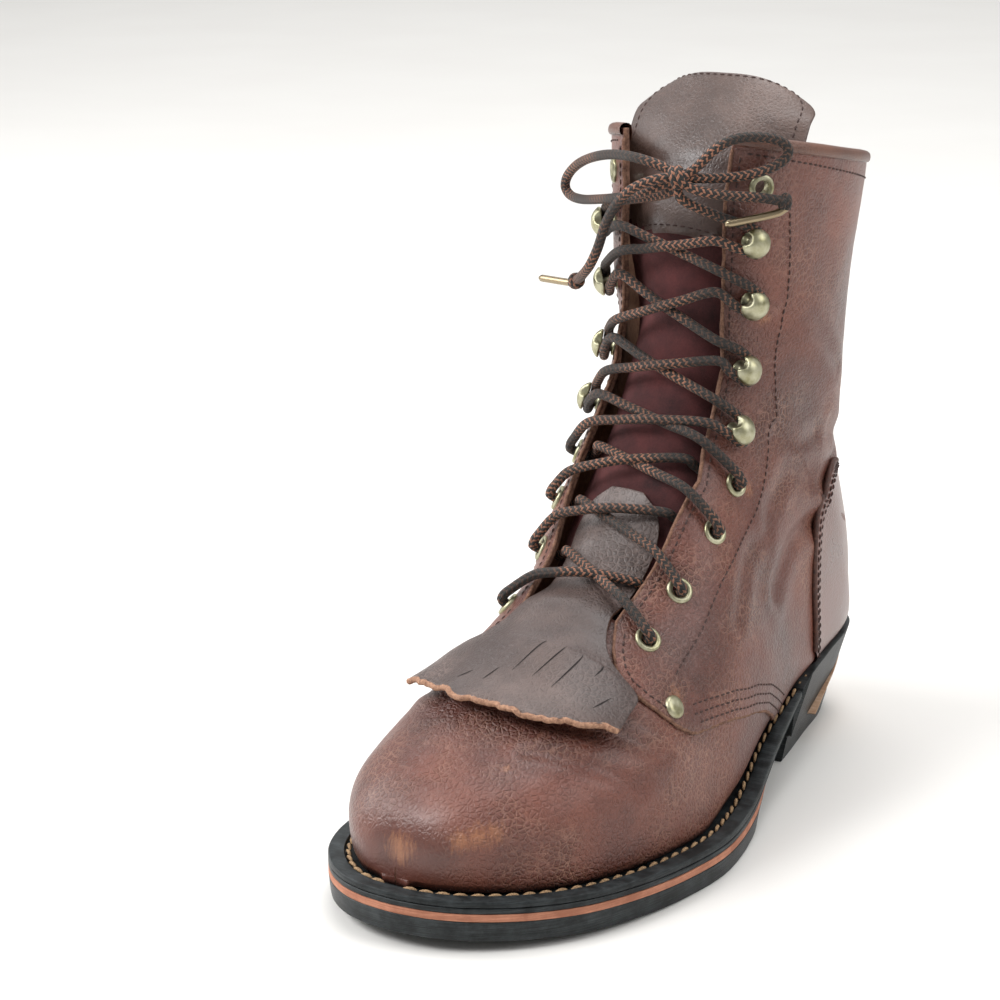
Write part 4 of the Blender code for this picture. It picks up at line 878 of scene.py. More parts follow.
OILED_LEATHER = pebbled_leather(
    "oiled pebbled leather", "#3f211a", "#61352a", "#7d4838", "#a87f6a", 0.0020, 0.0006, 0.44
)
RAW_EDGE = plain_leather("raw leather edge", "#4c3026", "#8f6a55", 0.9, 700.0, 0.0006)
FLESH_SIDE = plain_leather("leather lining", "#6b4a38", "#8f6c54", 0.85, 500.0)

# Vamp: it runs on under the quarters and the flap.
columns = np.linspace(-1, 1, 181)
reach = np.where(np.abs(columns) > 0.2, 0.35, 0.03)
ends = read_table(QUARTER_EDGE, np.abs(columns)) + reach
shares = np.linspace(0, 1, 141)[:, None]
numbers = 0.02 + (ends[None, :] - 0.02) * shares**1.3
ways = np.broadcast_to(columns, numbers.shape)
bare = on_form(numbers, ways)[0]
points, normals = on_form(numbers, ways, relief(bare))
tucked = points[:, [0, -1]] - normals[:, [0, -1]] * TUCK_IN
tucked[..., 2] -= FOOT_TUCK
points = np.concatenate([tucked[:, :1], points, tucked[:, 1:]], axis=1)
toe_calm = smooth((4.6 - numbers) / 3.2)
# Painted shade: flap_shade darkens the vamp just under the kiltie flap's edge, where the flap casts its
# shadow.
flap_shade = near_spots(bare, [(6.6, 0.05, 0.040), (7.2, -0.40, 0.030), (7.4, 0.45, 0.016)])
toe_dirt = near_spots(bare, [(0.9, 0.35, 0.022), (2.0, 0.62, 0.030), (0.9, -0.3, 0.03)])
SCUFFS = (
    # section, around, reach
    (1.05, 0.04, 0.011),
    (0.80, 0.06, 0.008),
    (2.8, 0.55, 0.008),
    (3.3, 0.58, 0.009),
    (3.7, 0.60, 0.007),
    (5.1, 0.30, 0.003),
)
marks = {
    "smooth_area": 0.9 * toe_calm,
    "dirt_and_shade": np.maximum(0.55 * flap_shade, 0.5 * toe_dirt),
    "scuff": near_spots(bare, SCUFFS),
}
marks = {mark: np.pad(values, ((0, 0), (1, 1)), mode="edge") for mark, values in marks.items()}
vamp = link("vamp", grid_mesh("vamp", points, marks), [OILED_LEATHER, FLESH_SIDE, RAW_EDGE])
thicken(vamp, VAMP_WALL, 1, 2)
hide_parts("upper")

# Quarters: each one is the side of the foot and half of the shaft in one sheet, with the eyelets'
# holes along its facing.
HOLES = [
    on_form(number, sign * way)[0]
    for lateral, lateral_way, medial, medial_way in EYELETS
    for number, sign, way in ((lateral, 1, lateral_way), (medial, -1, medial_way))
]


def in_a_hole(centres):
    found = np.zeros(len(centres), bool)
    for hole in HOLES:
        found |= np.linalg.norm(centres - hole, axis=1) < EYELET_CLEAR
    return found


for side, sign in SIDES:
    shares = np.linspace(0, 1, 126)
    foot_ways = LINES_FROM + (1 - LINES_FROM) * shares
    starts = read_table(QUARTER_EDGE, foot_ways)
    rises = np.linspace(0, 1, 251)[:, None]
    numbers = starts[None, :] + (COLLAR_SECTION - starts[None, :]) * rises
    facing = read_table(FACING_EDGE, numbers)
    ways = sign * (facing + (1 - facing) * shares[None, :])
    bare = on_form(numbers, ways)[0]
    lifts = quarter_lift(numbers, ways) + relief(bare)
    points, normals = on_form(numbers, ways, lifts)
    tucked = points[:, -1:] - normals[:, -1:] * TUCK_IN
    tucked[..., 2] -= FOOT_TUCK * (numbers[:, -1:] < HEEL_SECTION)
    points = np.concatenate([points, tucked], axis=1)
    corner_dirt = near_spots(bare, [(8.5, sign * 0.52, 0.012), (8.6, sign * 0.62, 0.012)])
    facing_dirt = smooth((0.045 - np.abs(np.abs(ways) - facing)) / 0.045)
    rubbed = ((8.7, sign * 0.50, 0.007), (19.2, sign * 0.24, 0.006), (13.1, sign * 0.32, 0.006))
    calm = 0.55 * smooth((numbers - 20.0) / 3.0) + 0.35 * smooth((np.abs(ways) - 0.75) / 0.2)
    marks = {
        "smooth_area": calm,
        "dirt_and_shade": np.maximum(0.6 * corner_dirt, 0.35 * facing_dirt),
        "scuff": near_spots(bare, rubbed),
    }
    marks = {mark: np.pad(values, ((0, 0), (0, 1)), mode="edge") for mark, values in marks.items()}
    mesh = grid_mesh(f"quarter_{side}", points, marks, drop=in_a_hole, flip=sign < 0)
    quarter = link(f"quarter_{side}", mesh, [OILED_LEATHER, FLESH_SIDE, RAW_EDGE])
    thicken(quarter, WALL, 1, 2)
    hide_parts("upper")

# Collar: a strip of thinner tan-brown leather is rolled over the quarters' top edge and sewn down.
BINDING_PROFILE = (
    # out, up in mm
    (0.1, -2.5),
    (0.9, -2.3),
    (1.30, -1.7),
    (1.45, -0.8),
    (1.30, 0.2),
    (0.9, 1.0),
    (-0.1, 1.6),
    (-1.2, 1.75),
    (-2.3, 1.5),
    (-3.1, 0.7),
    (-3.4, -0.8),
    (-3.4, -2.6),
    (-3.2, -4.2),
    (-2.3, -4.8),
)
BINDING_LEATHER = pebbled_leather(
    "rolled collar leather", "#40261d", "#5c392c", "#7b523f", "#967460", 0.0012, 0.0003, 0.5
)
collar_facing = facing_edge(COLLAR_SECTION)
rows = []
for first, last in ((collar_facing, 1), (-1, -collar_facing)):
    edge, out_ways = on_form(COLLAR_SECTION, np.linspace(first, last, 130))
    up_ways = unit(edge - on_form(COLLAR_SECTION - 0.35, np.linspace(first, last, 130))[0])
    wave = waves(edge, 55.0)[:, None] * 0.00035
    ring = []
    for out, up in BINDING_PROFILE:
        ring.append(edge + out_ways * (out / 1000 + wave) + up_ways * (up / 1000 + wave))
    rows.append(np.stack(ring, axis=1))
points = np.concatenate(rows)
marks = {
    "smooth_area": np.full(points.shape[:2], 0.5),
    "dirt_and_shade": np.full(points.shape[:2], 0.1),
    "scuff": np.zeros(points.shape[:2]),
}
mesh = grid_mesh("collar_binding", points, marks, flip=True)
binding = link("collar_binding", mesh, [BINDING_LEATHER, RAW_EDGE])
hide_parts("upper")

# Heel counter: a firm, smooth leather cup stitched over the back of both quarters, with a dark
# rolled front edge and two rows of stitches behind it.
COUNTER_EDGE = (
    # section, around
    (12.75, 0.950),
    (13.20, 0.835),
    (13.80, 0.700),
    (14.50, 0.610),
    (15.30, 0.530),
    (16.00, 0.505),
    (16.90, 0.520),
    (17.80, 0.610),
    (18.50, 0.740),
    (19.00, 0.860),
    (19.40, 0.985),
)
COUNTER_EDGE_PROFILE = (
    # inwards along the leather, out in mm
    (0.0, -0.2),
    (0.0, 0.6),
    (0.3, 1.1),
    (0.9, 1.35),
    (1.6, 1.3),
    (2.2, 1.25),
    (3.2, 1.35),
)
EDGE_ROUNDS = 260
PLACE_ROUNDS = 6
COUNTER_ROUNDS = 120
COUNTER_FACE = 0.00145
COUNTER_LEATHER = pebbled_leather(
    "brushed counter leather", "#4a2e29", "#66433c", "#7d5c56", "#94766e", 0.0016, 0.00022, 0.36
)
COUNTER_FOLD = plain_leather("dark folded edge", "#2a1714", "#5a3528", 0.6, 500.0, 0.0004)


def nearest_place(spot, side):
    """The section and the way round of the form's grid point that lies nearest to a spot."""
    half = FORM_COLUMNS // 2
    part = slice(half, None) if side > 0 else slice(0, half + 1)
    away = np.linalg.norm(FORM[:, part] - spot, axis=2)
    i, j = np.unravel_index(np.argmin(away), away.shape)
    way = (j + (half if side > 0 else 0)) / half - 1
    return i / (FORM_ROWS - 1) * COLLAR_SECTION, abs(way)


def evened_edge():
    """The counter's front edge: a smooth line in space through its table, read back on the form."""
    rows = np.asarray(COUNTER_EDGE)
    knots = on_form(rows[:, 0], rows[:, 1])[0]
    line = read_curve(knots, np.linspace(0, len(knots) - 1, 180))
    evened(line, EDGE_ROUNDS)
    places = np.array([nearest_place(spot, 1) for spot in line])
    places[:, 0] = np.maximum.accumulate(places[:, 0])
    return evened(places, PLACE_ROUNDS)


edge_rows = evened_edge()
for side, sign in SIDES:
    grid, calm = [], []
    for number, start in edge_rows:
        full = girth(number, sign)
        lift = float(quarter_lift(number, start))
        line, shades = [], []
        for inwards, out in COUNTER_EDGE_PROFILE:
            way = min(start + inwards / 1000 / full, 1.0)
            line.append(on_form(number, sign * way, lift + out / 1000)[0])
            shades.append(1.0 if inwards < 1.5 else 0.25)
        first = way
        for share in np.linspace(0.02, 1, 62):
            way = first + (1 - first) * share
            out = float(quarter_lift(number, way)) * (1 - share) + COUNTER_FACE
            line.append(on_form(number, sign * way, out)[0])
            shades.append(0.25)
        foot = line[-1].copy()
        if number < HEEL_SECTION:
            foot[2] -= FOOT_TUCK
        grid.append(line + [foot])
        calm.append(shades + [0.25])
    points = np.array(grid)
    shades = np.array(calm)
    wave = waves(points, 30.0) * 0.0004
    evened(points[:, 6:-1], COUNTER_ROUNDS)
    points[:, 6:-1] += wave[:, 6:-1, None] * np.array([0.7 * sign, 0.7, 0.0])
    marks = {
        "smooth_area": np.full(shades.shape, 0.55),
        "dirt_and_shade": 0.7 * (shades > 0.5),
        "scuff": np.zeros(shades.shape),
    }
    mesh = grid_mesh(f"counter_{side}", points, marks, flip=sign < 0)
    counter = link(f"counter_{side}", mesh, [COUNTER_LEATHER, FLESH_SIDE, RAW_EDGE])
    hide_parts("counter")


# Stitching of the upper: dark brown waxed thread. One row runs beside the facing's edge, one along
# the quarter, three over the quarter's lower edge, two on the counter and one under the collar.
THREAD_PITCH = 0.0029
THREAD_LENGTH = 0.0022
THREAD_RADIUS = 0.00034
SECOND_ROW = (
    # section, around
    (22.9, 0.290),
    (21.6, 0.310),
    (20.3, 0.310),
    (17.9, 0.280),
    (15.8, 0.270),
    (14.0, 0.335),
    (12.4, 0.390),
    (10.7, 0.385),
    (9.6, 0.420),
    (8.9, 0.450),
)
FACING_ROW = 0.0032
FRONT_ROW = 0.0030
LOWER_ROWS = (0.0030, 0.0062, 0.0094)
COUNTER_ROWS = (0.0034, 0.0056)


def stitch_mesh(name, lines, pitch, length, radius, slant=0.0, rise=0.3):
    """Short rounded stitches along lines of points with normals."""
    points, faces = [], []
    for line, normals in lines:
        line, normals = np.asarray(line), np.asarray(normals)
        run = run_of(line)
        for middle in np.arange(pitch, run[-1] - pitch / 2, pitch):
            ahead_and_back = (middle - length / 2, middle + length / 2)
            ends = [np.array([np.interp(at, run, line[:, k]) for k in range(3)]) for at in ahead_and_back]
            normal = unit(np.array([np.interp(middle, run, normals[:, k]) for k in range(3)]))
            ahead = unit(ends[1] - ends[0])
            beside = np.cross(normal, ahead)
            ahead = ahead * math.cos(slant) + beside * math.sin(slant)
            beside = np.cross(normal, ahead)
            centre = (ends[0] + ends[1]) / 2 + normal * radius * rise
            first = len(points)
            for step in (-1.0, -0.82, -0.4, 0.0, 0.4, 0.82, 1.0):
                thick = radius * math.sqrt(max(1 - step**4, 0.02))
                for k in range(6):
                    turn = math.pi * k / 3
                    spot = centre + ahead * step * length / 2
                    spot = spot + thick * (math.cos(turn) * beside + math.sin(turn) * normal)
                    points.append(spot - normal * radius * 0.8 * step * step)
            faces += ring_faces(first, 7, 6)
    mesh = bpy.data.meshes.new(name)
    mesh.from_pydata([tuple(p) for p in points], [], faces)
    return mesh


def on_quarter(number, around):
    """Points and normals on the quarter's face."""
    bare = on_form(number, around)[0]
    return on_form(number, around, quarter_lift(number, around) + relief(bare))


def quarter_line(first, last, count=90):
    """The quarter's lower edge between two places round the upper, as evenly spaced section and way."""
    ways = np.linspace(first, last, 400)
    edges = read_table(QUARTER_EDGE, ways)
    for _ in range(30):
        edges[1:-1] = (edges[:-2] + edges[1:-1] + edges[2:]) / 3
    run = run_of(on_form(edges, ways)[0])
    even = np.linspace(0, run[-1], count)
    return np.interp(even, run, edges), np.interp(even, run, ways)


def beside_edge(first, last, row, sign):
    """A line on the quarter that keeps its distance from the quarter's lower edge."""
    edges, ways = quarter_line(first, last)
    spots, normals = on_form(edges, sign * ways)
    heading = unit(np.gradient(spots, axis=0))
    inwards = np.cross(heading, normals) * -sign
    by_section = (on_form(edges + 0.2, sign * ways)[0] - spots) / 0.2
    by_way = (on_form(edges, sign * (ways - 0.02))[0] - spots) / 0.02
    moved_edges, moved_ways = [], []
    for k in range(len(edges)):
        basis = np.stack([by_section[k], by_way[k]], -1)
        shift = np.linalg.lstsq(basis, inwards[k] * row, rcond=None)[0]
        moved_edges.append(edges[k] + shift[0])
        moved_ways.append(ways[k] - shift[1])
    moved_ways = np.minimum(moved_ways, 1.0)
    return on_quarter(np.array(moved_edges), sign * moved_ways)


waxed_thread = plain_leather("waxed brown thread", "#231513", "#4a2d26", 0.6, 2500.0)
lines = []
for sign in (1, -1):
    numbers = np.linspace(9.0, 23.6, 150)
    facing = read_table(FACING_EDGE, numbers)
    inwards = np.array([FACING_ROW / girth(number, sign) for number in numbers])
    lines.append(on_quarter(numbers, sign * (facing + inwards)))
    second = read_curve(SECOND_ROW, np.linspace(0, len(SECOND_ROW) - 1, 120))
    lines.append(on_quarter(second[:, 0], sign * second[:, 1]))
    for row in LOWER_ROWS:
        lines.append(beside_edge(0.655 - 1.5 * row, 0.99, row, sign))
    lines.append(beside_edge(0.20, 0.56, FRONT_ROW, sign))
    for inwards in COUNTER_ROWS:
        numbers, ways = edge_rows[:-6].T
        ways = ways + [inwards / girth(number, sign) for number in numbers]
        lines.append(on_form(numbers, sign * ways, 0.00155 + quarter_lift(numbers, ways)))
    ways = np.linspace(collar_facing + 0.02, 1.0, 140)
    lines.append(on_quarter(np.full(140, COLLAR_SECTION - 0.36), sign * ways))
    back_ways = np.full(60, 1 - 0.0030 / 0.105)
    lines.append(on_quarter(np.linspace(19.5, 23.4, 60), sign * back_ways))
for side, sign in SIDES:
    edges, ways = quarter_line(0.19, 0.995, 200)
    numbers = np.linspace(23.7, 9.0, 260)
    facing = read_table(FACING_EDGE, numbers)
    rim_numbers = np.concatenate([numbers, edges])
    rim_ways = np.concatenate([facing, ways])
    bare = on_form(rim_numbers, sign * rim_ways)[0]
    rim_out = quarter_lift(rim_numbers, rim_ways) * 0.62 + relief(bare) - 0.0001
    lifted = on_form(rim_numbers, sign * rim_ways, rim_out)[0]
    ragged = [Vector(p) + noise.noise_vector(Vector(p) * 420.0) * 0.00022 for p in lifted]
    rim = link(f"raw_rim_{side}", tube_mesh(f"raw_rim_{side}", ragged, 0.00068, 8), [RAW_EDGE])
    numbers, ways = edge_rows[:-3, 0], edge_rows[:-3, 1]
    fold = on_form(numbers, sign * np.minimum(ways, 1.0), quarter_lift(numbers, ways) + 0.0008)[0]
    fold_mesh = tube_mesh(f"counter_fold_{side}", fold, 0.0011, 10)
    seam = link(f"counter_fold_{side}", fold_mesh, [COUNTER_FOLD])
mesh = stitch_mesh("upper_thread", lines, THREAD_PITCH, THREAD_LENGTH, THREAD_RADIUS)
upper_thread = link("upper_thread", mesh, [waxed_thread])

# Tongue: dark maroon suede behind the laces, with a smooth grey-brown facing sewn to its top third.
# It leans back into the collar.
TONGUE_THICKNESS = 0.0024
TONGUE_DEPTH = 0.0048
CLEARANCE = 0.0003
TONGUE_ROWS = (
    # section, around, depth
    (8.20, 0.220, 0.02),
    (8.60, 0.240, 0.30),
    (9.00, 0.260, 0.90),
    (9.60, 0.280, 1.00),
    (10.50, 0.290, 1.00),
    (11.50, 0.300, 1.00),
    (12.50, 0.290, 1.00),
    (14.60, 0.270, 1.00),
    (16.00, 0.270, 1.00),
    (17.50, 0.280, 1.00),
    (19.00, 0.290, 1.00),
    (20.30, 0.290, 1.00),
)
TONGUE_TOP = (
    # lean, up, wide, bow
    (0.030, 0.885, 0.294, 0.172),
    (0.043, 0.935, 0.300, 0.160),
    (0.080, 1.000, 0.300, 0.125),
    (0.112, 1.045, 0.290, 0.095),
    (0.131, 1.070, 0.255, 0.065),
    (0.137, 1.077, 0.220, 0.050),
)
TONGUE_GRID = (171, 91)
TONGUE_DROOP = 0.0085
FACING_FROM = 0.2035
FACING_STEP = 0.0007
FOLD_HEIGHT = 0.2255


def sunk(number, around, out):
    """A point off the upper's bare surface, without the quarter's step."""
    return on_form(number, around, out)[0]


spread = np.linspace(-1, 1, TONGUE_GRID[1])
rows = []
for number, way, depth in TONGUE_ROWS:
    rows.append(sunk(number, spread * way, -(WALL + CLEARANCE + depth * TONGUE_DEPTH)))
front, middle = float(SECTION_LENGTHS[-1][2]), float(SECTION_LENGTHS[-1][5])
foot = float(sole_top(0))
for lean, up, wide, bow in TONGUE_TOP:
    along = front - lean * SOLE_LENGTH - bow * BALL_WIDTH * spread**2
    droop = TONGUE_DROOP * smooth((up - 0.98) / 0.10) * np.abs(spread) ** 3
    height = foot + up * (COLLAR_HEIGHT - foot) - droop
    rows.append(np.stack([middle + wide * BALL_WIDTH * spread, SOLE_LENGTH / 2 - along, height], -1))
coarse = np.array(rows).reshape(len(rows), -1)
points = read_curve(coarse, np.linspace(0, len(rows) - 1, TONGUE_GRID[0])).reshape(*TONGUE_GRID, 3)
normals = grid_normals(points)
wave = waves(points, 38.0)
from_fold = points[..., 2] - FOLD_HEIGHT
fold = np.exp(-((from_fold / 0.0035) ** 2)) * 0.0012
sewn = smooth((points[..., 2] - FACING_FROM) / 0.0008)
out = wave * 0.0010 * (1 - sewn) + wave * 0.0005 - fold + FACING_STEP * sewn
# Painted shade: the facing is darkened in a band along its fold below the collar, where shade falls in the
# crease.
marks = {
    "smooth_area": np.full(TONGUE_GRID, 0.5),
    "dirt_and_shade": 0.5 * np.exp(-((from_fold / 0.004) ** 2)),
    "scuff": np.zeros(TONGUE_GRID),
}
points = points + normals * out[..., None]
suede, tree, shader = new_material("maroon suede", 0.95)
shader.inputs["Sheen Weight"].default_value = 0.35
shader.inputs["Sheen Roughness"].default_value = 0.45
shader.inputs["Sheen Tint"].default_value = linear("#8a4c48")
spots = add_node(tree, "TexCoord")["Object"]
nap_noise = {"Vector": spots, "Scale": 1600.0, "Detail": 3.0, "Roughness": 0.7}
brushed_noise = {"Vector": spots, "Scale": 60.0, "Detail": 4.0, "Roughness": 0.65}
nap = add_node(tree, "TexNoise", nap_noise)[0]
brushed = add_node(tree, "TexNoise", brushed_noise)[0]
shade = add_node(tree, "Math", (nap, 0.35, brushed), operation="MULTIPLY_ADD")[0]
shade_share = add_node(tree, "MapRange", (shade, 0.45, 0.90))[0]
paint(tree, shader, shade_share, "#2c1517", "#5a2c2c", nap, 0.6, 0.0004)
FACING_LEATHER = pebbled_leather(
    "smooth grey-brown leather", "#332927", "#4b3c37", "#665149", "#80675e", 0.0016, 0.00022, 0.44
)
mesh = grid_mesh("tongue_sheet", points, marks)
tongue = link("tongue_sheet", mesh, [suede, FLESH_SIDE, RAW_EDGE, FACING_LEATHER])
for face in tongue.data.polygons:
    if face.center.z > FACING_FROM:
        face.material_index = 3
thicken(tongue, TONGUE_THICKNESS, 0, 0)
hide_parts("tongue")
seam_lines = []
rim = [(row, 5) for row in range(int(np.argmax(points[:, 5, 2] > 0.2300)), 164)]
rim += [(164, column) for column in range(6, 85)]
rim += [(row, 85) for row in range(163, int(np.argmax(points[:, 85, 2] > 0.2300)), -1)]
seam_lines.append((np.array([points[r, c] for r, c in rim]), np.array([normals[r, c] for r, c in rim])))
low_row = int(np.argmax(points[:, 45, 2] > FACING_FROM + 0.0026))
seam_lines.append((points[low_row, 12:79], normals[low_row, 12:79]))
mesh = stitch_mesh("tongue_thread", seam_lines, 0.0030, 0.0022, 0.00032)
tongue_thread = link("tongue_thread", mesh, [waxed_thread])

# Kiltie: a stiff, worn dark leather flap laced in over the lower throat. Its raw edge is pinked
# unevenly and curls up, and short slits stand in two rows where its fringe was to be cut.
KILTIE_THICKNESS = 0.0019
KILTIE_REACH = 0.475
KILTIE_LIFT = 0.0075
KILTIE_ROWS = (
    # section, around, face
    (7.85, 0.415, 0.0048),
    (8.00, 0.325, 0.0042),
    (8.15, 0.262, 0.0036),
    (8.45, 0.205, 0.0028),
    (8.90, 0.168, 0.0018),
    (9.45, 0.168, -0.0036),
    (10.00, 0.168, -0.0046),
    (10.60, 0.160, -0.0050),
    (11.10, 0.125, -0.0050),
    (11.40, 0.055, -0.0048),
)
KILTIE_EDGE = (
    # around as a share of the flap's half width, section
    (-1.00, 6.95),
    (-0.62, 6.50),
    (-0.24, 6.20),
    (0.42, 6.15),
    (0.79, 6.50),
    (1.00, 6.95),
)
KILTIE_SLITS = (
    # flap column from -1 to 1 and row from the edge 0 to the throat 1, of both ends of each slit
    (0.00, 0.10, 0.10, 0.23),
    (0.20, 0.10, 0.29, 0.22),
    (0.41, 0.09, 0.46, 0.21),
    (0.62, 0.15, 0.66, 0.21),
    (0.78, 0.07, 0.83, 0.12),
    (-0.42, 0.04, -0.34, 0.08),
    (-0.18, 0.06, -0.13, 0.10),
)
KILTIE_GRID = (121, 111)
CURLED_ROWS = 14
spread = np.linspace(-1, 1, KILTIE_GRID[1])
reach_edge = read_table(KILTIE_EDGE, spread)
rows = [sunk(reach_edge, spread * KILTIE_REACH, KILTIE_LIFT)]
first, reach, face = KILTIE_ROWS[0]
rows.append(sunk((reach_edge + first) / 2, spread * (KILTIE_REACH + reach) / 2, (KILTIE_LIFT + face) / 2))
for number, way, face in KILTIE_ROWS:
    rows.append(sunk(number, spread * way, face))
coarse = np.array(rows).reshape(len(rows), -1)
points = read_curve(coarse, np.linspace(0, len(rows) - 1, KILTIE_GRID[0])).reshape(*KILTIE_GRID, 3)
normals = grid_normals(points)
out_of_edge = unit(points[0] - points[2])


def along_edge(swings, row, depth):
    """A random line along the flap's edge, with so many swings from its middle to its corner."""
    return np.array([noise.noise(Vector((s * swings, row, 0.7))) for s in spread]) * depth


ragged = along_edge(9.0, 0.3, 0.0014) + along_edge(31.0, 0.3, 0.0006)
row_numbers = np.arange(KILTIE_GRID[0])[:, None]
edge_share = np.clip(1 - row_numbers / CURLED_ROWS, 0, 1)
curl = along_edge(5.0, 4.3, 0.0010) + 0.0022 * np.maximum(0.0, spread - 0.6) / 0.4
points = points + out_of_edge[None] * (ragged[None] * edge_share)[..., None]
points = points + normals * (curl[None] * edge_share**2)[..., None]
points = points + normals * (waves(points, 60.0) * 0.0005)[..., None]
WORN_LEATHER = pebbled_leather(
    "worn dark leather", "#2d2321", "#463834", "#685650", "#85716a", 0.0019, 0.0004, 0.50, worn="#8a6a58"
)
# Painted light: side_light lightens the flap's medial side as a painted sheen, taking away the dark mix and
# letting more pale grain lines show.
side_light = smooth((-spread[None, :] - 0.35) / 0.4) * np.ones((KILTIE_GRID[0], 1))
# Painted shade: throat_shade is a dark band across the flap, about a quarter of the way up from its edge.
throat_shade = np.exp(-(((row_numbers - 34) / 26.0) ** 2))
marks = {
    "smooth_area": np.full(KILTIE_GRID, 0.35) * (1 - side_light),
    "dirt_and_shade": np.clip(0.55 * throat_shade - 0.5 * side_light, 0, 1),
    "scuff": np.clip(0.55 - row_numbers / 5.0, 0, 1) * np.ones((1, KILTIE_GRID[1])),
}
kiltie = link("kiltie_flap", grid_mesh("kiltie_flap", points, marks), [WORN_LEATHER, FLESH_SIDE, RAW_EDGE])
thicken(kiltie, KILTIE_THICKNESS, 1, 2)
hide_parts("kiltie")
PALE_EDGE = plain_leather("pale raw edge", "#6e4c3b", "#b98f74", 0.92, 800.0, 0.0007)
fringe = points[0] - normals[0] * KILTIE_THICKNESS * 0.45
fringe = [Vector(p) + noise.noise_vector(Vector(p) * 380.0) * 0.00045 for p in fringe]
fringe_mesh = tube_mesh("kiltie_edge", smooth_route(fringe, 0.0006), 0.00105, 8)
fringe_edge = link("kiltie_edge", fringe_mesh, [PALE_EDGE])


def on_flap(column, row):
    """The point and the normal of the flap at a column from -1 to 1 and a row from 0 to 1."""
    i, j = min(row * 120, 119.0), (column + 1) * 55
    a, b = int(i), int(j)
    f, g = i - a, j - b
    read = []
    for grid in (points, normals):
        low = grid[a, b] * (1 - g) + grid[a, b + 1] * g
        high = grid[a + 1, b] * (1 - g) + grid[a + 1, b + 1] * g
        read.append(low * (1 - f) + high * f)
    return read


# The slits are thin near-black strips laid on the flap: painted shade for the dark inside of each cut.
slit_points, slit_faces = [], []
for column, row, end_column, end_row in KILTIE_SLITS:
    shares = np.linspace(0, 1, 8)
    steps = [on_flap(column + (end_column - column) * s, row + (end_row - row) * s) for s in shares]
    first = len(slit_points)
    for k, (spot, normal) in enumerate(steps):
        ahead = steps[min(k + 1, 7)][0] - steps[max(k - 1, 0)][0]
        beside = np.cross(normal, ahead)
        beside /= np.linalg.norm(beside)
        wide = 0.00030 * math.sin(math.pi * (k + 0.4) / 7.8)
        slit_points += [spot + normal * 0.00008 - beside * wide, spot + normal * 0.00008 + beside * wide]
    for k in range(7):
        a = first + 2 * k
        slit_faces.append((a, a + 1, a + 3, a + 2))
slit_mesh = bpy.data.meshes.new("kiltie_slits")
slit_mesh.from_pydata([tuple(p) for p in slit_points], [], slit_faces)
slit_shade = plain_leather("painted shade in slits", "#120c0b", "#1e1513", 0.95, 900.0)
slits = link("kiltie_slits", slit_mesh, [slit_shade])

# Eyelets, hooks and rivets: stamped steel with an aged, greenish nickel plate.
EYELET_RADIUS = 0.00465
EYELET_OPENING = 0.0025
EYELET_RIM = 0.0008
HOOK_RADIUS = 0.0052
HOOK_HEIGHT = 0.0085
HOOK_NECK = 0.0017
HOOK_BASE = 0.0034
RIVET_RADIUS = 0.0040
RIVET_HEIGHT = 0.0013
RIVET_PLACE = (8.50, 0.520)
HOOK_BITE = 0.0029
HOOK_BITE_PLACE = 0.0058


def directions(number, around):
    """Unit vectors at a point of the upper: up the sections, away from the front centre, outwards."""
    side = -1 if around < 0 else 1
    rise = on_form(min(number + 0.1, COLLAR_SECTION), around)[0] - on_form(max(number - 0.1, 0), around)[0]
    inner, outer = side * max(abs(around) - 0.02, 0), side * (abs(around) + 0.02)
    away = on_form(number, outer)[0] - on_form(number, inner)[0]
    normal = np.cross(away, rise) * side
    normal = normal / np.linalg.norm(normal)
    away = away / np.linalg.norm(away)
    return np.cross(normal, away) * side, away, normal


def near(number, around, rise=0.0, away=0.0, out=0.0):
    """A point by the upper's face, moved from it by real lengths."""
    up, side, normal = directions(number, around)
    lift = float(quarter_lift(number, around)) if abs(around) >= facing_edge(number) else 0.0
    return on_form(number, around)[0] + up * rise + side * away + normal * (out + lift)


def plated_steel():
    """Aged nickel plate: warm and slightly green, with small rubbed spots that are paler and duller."""
    material, tree, shader = new_material("aged nickel plate", 0.3, 1.0)
    spots = add_node(tree, "TexCoord")["Object"]
    bloom_noise = {"Vector": spots, "Scale": 260.0, "Detail": 5.0, "Roughness": 0.6}
    bloom = add_node(tree, "TexNoise", bloom_noise)[0]
    share = add_node(tree, "MapRange", (bloom, 0.32, 0.66))[0]
    paint(tree, shader, share, "#8b8766", "#bcb9a0")
    dull = add_node(tree, "MapRange", (bloom, 0.3, 0.7, 0.34, 0.52))[0]
    tree.links.new(dull, shader.inputs["Roughness"])
    return material


NICKEL = plated_steel()


def outward_mesh(name, points, faces, weld=False):
    """A mesh whose faces look outwards. A welded one also keeps its sharp edges."""
    mesh = bpy.data.meshes.new(name)
    mesh.from_pydata([tuple(p) for p in points], [], faces)
    work = bmesh.new()
    work.from_mesh(mesh)
    if weld:
        bmesh.ops.remove_doubles(work, verts=work.verts, dist=1e-6)
    bmesh.ops.recalc_face_normals(work, faces=work.faces)
    if weld:
        for edge in work.edges:
            edge.smooth = len(edge.link_faces) == 2 and edge.calc_face_angle(0.0) < 0.6
    work.to_mesh(mesh)
    work.free()
    return mesh


def turned_mesh(name, profile, places, steps=28, rim=None):
    """The same turned piece at several places: profile points are (radius, height)."""
    points, faces = [], []
    for number, around, out in places:
        up, side, normal = directions(number, around)
        centre = near(number, around, out=out)
        first = len(points)
        for radius, height in profile:
            for k in range(steps):
                turn = 2 * math.pi * k / steps
                reach = radius if rim is None else rim(radius, turn)
                arm = math.cos(turn) * side + math.sin(turn) * up
                points.append(centre + reach * arm + normal * height)
        faces += ring_faces(first, len(profile), steps)
    return outward_mesh(name, points, faces)


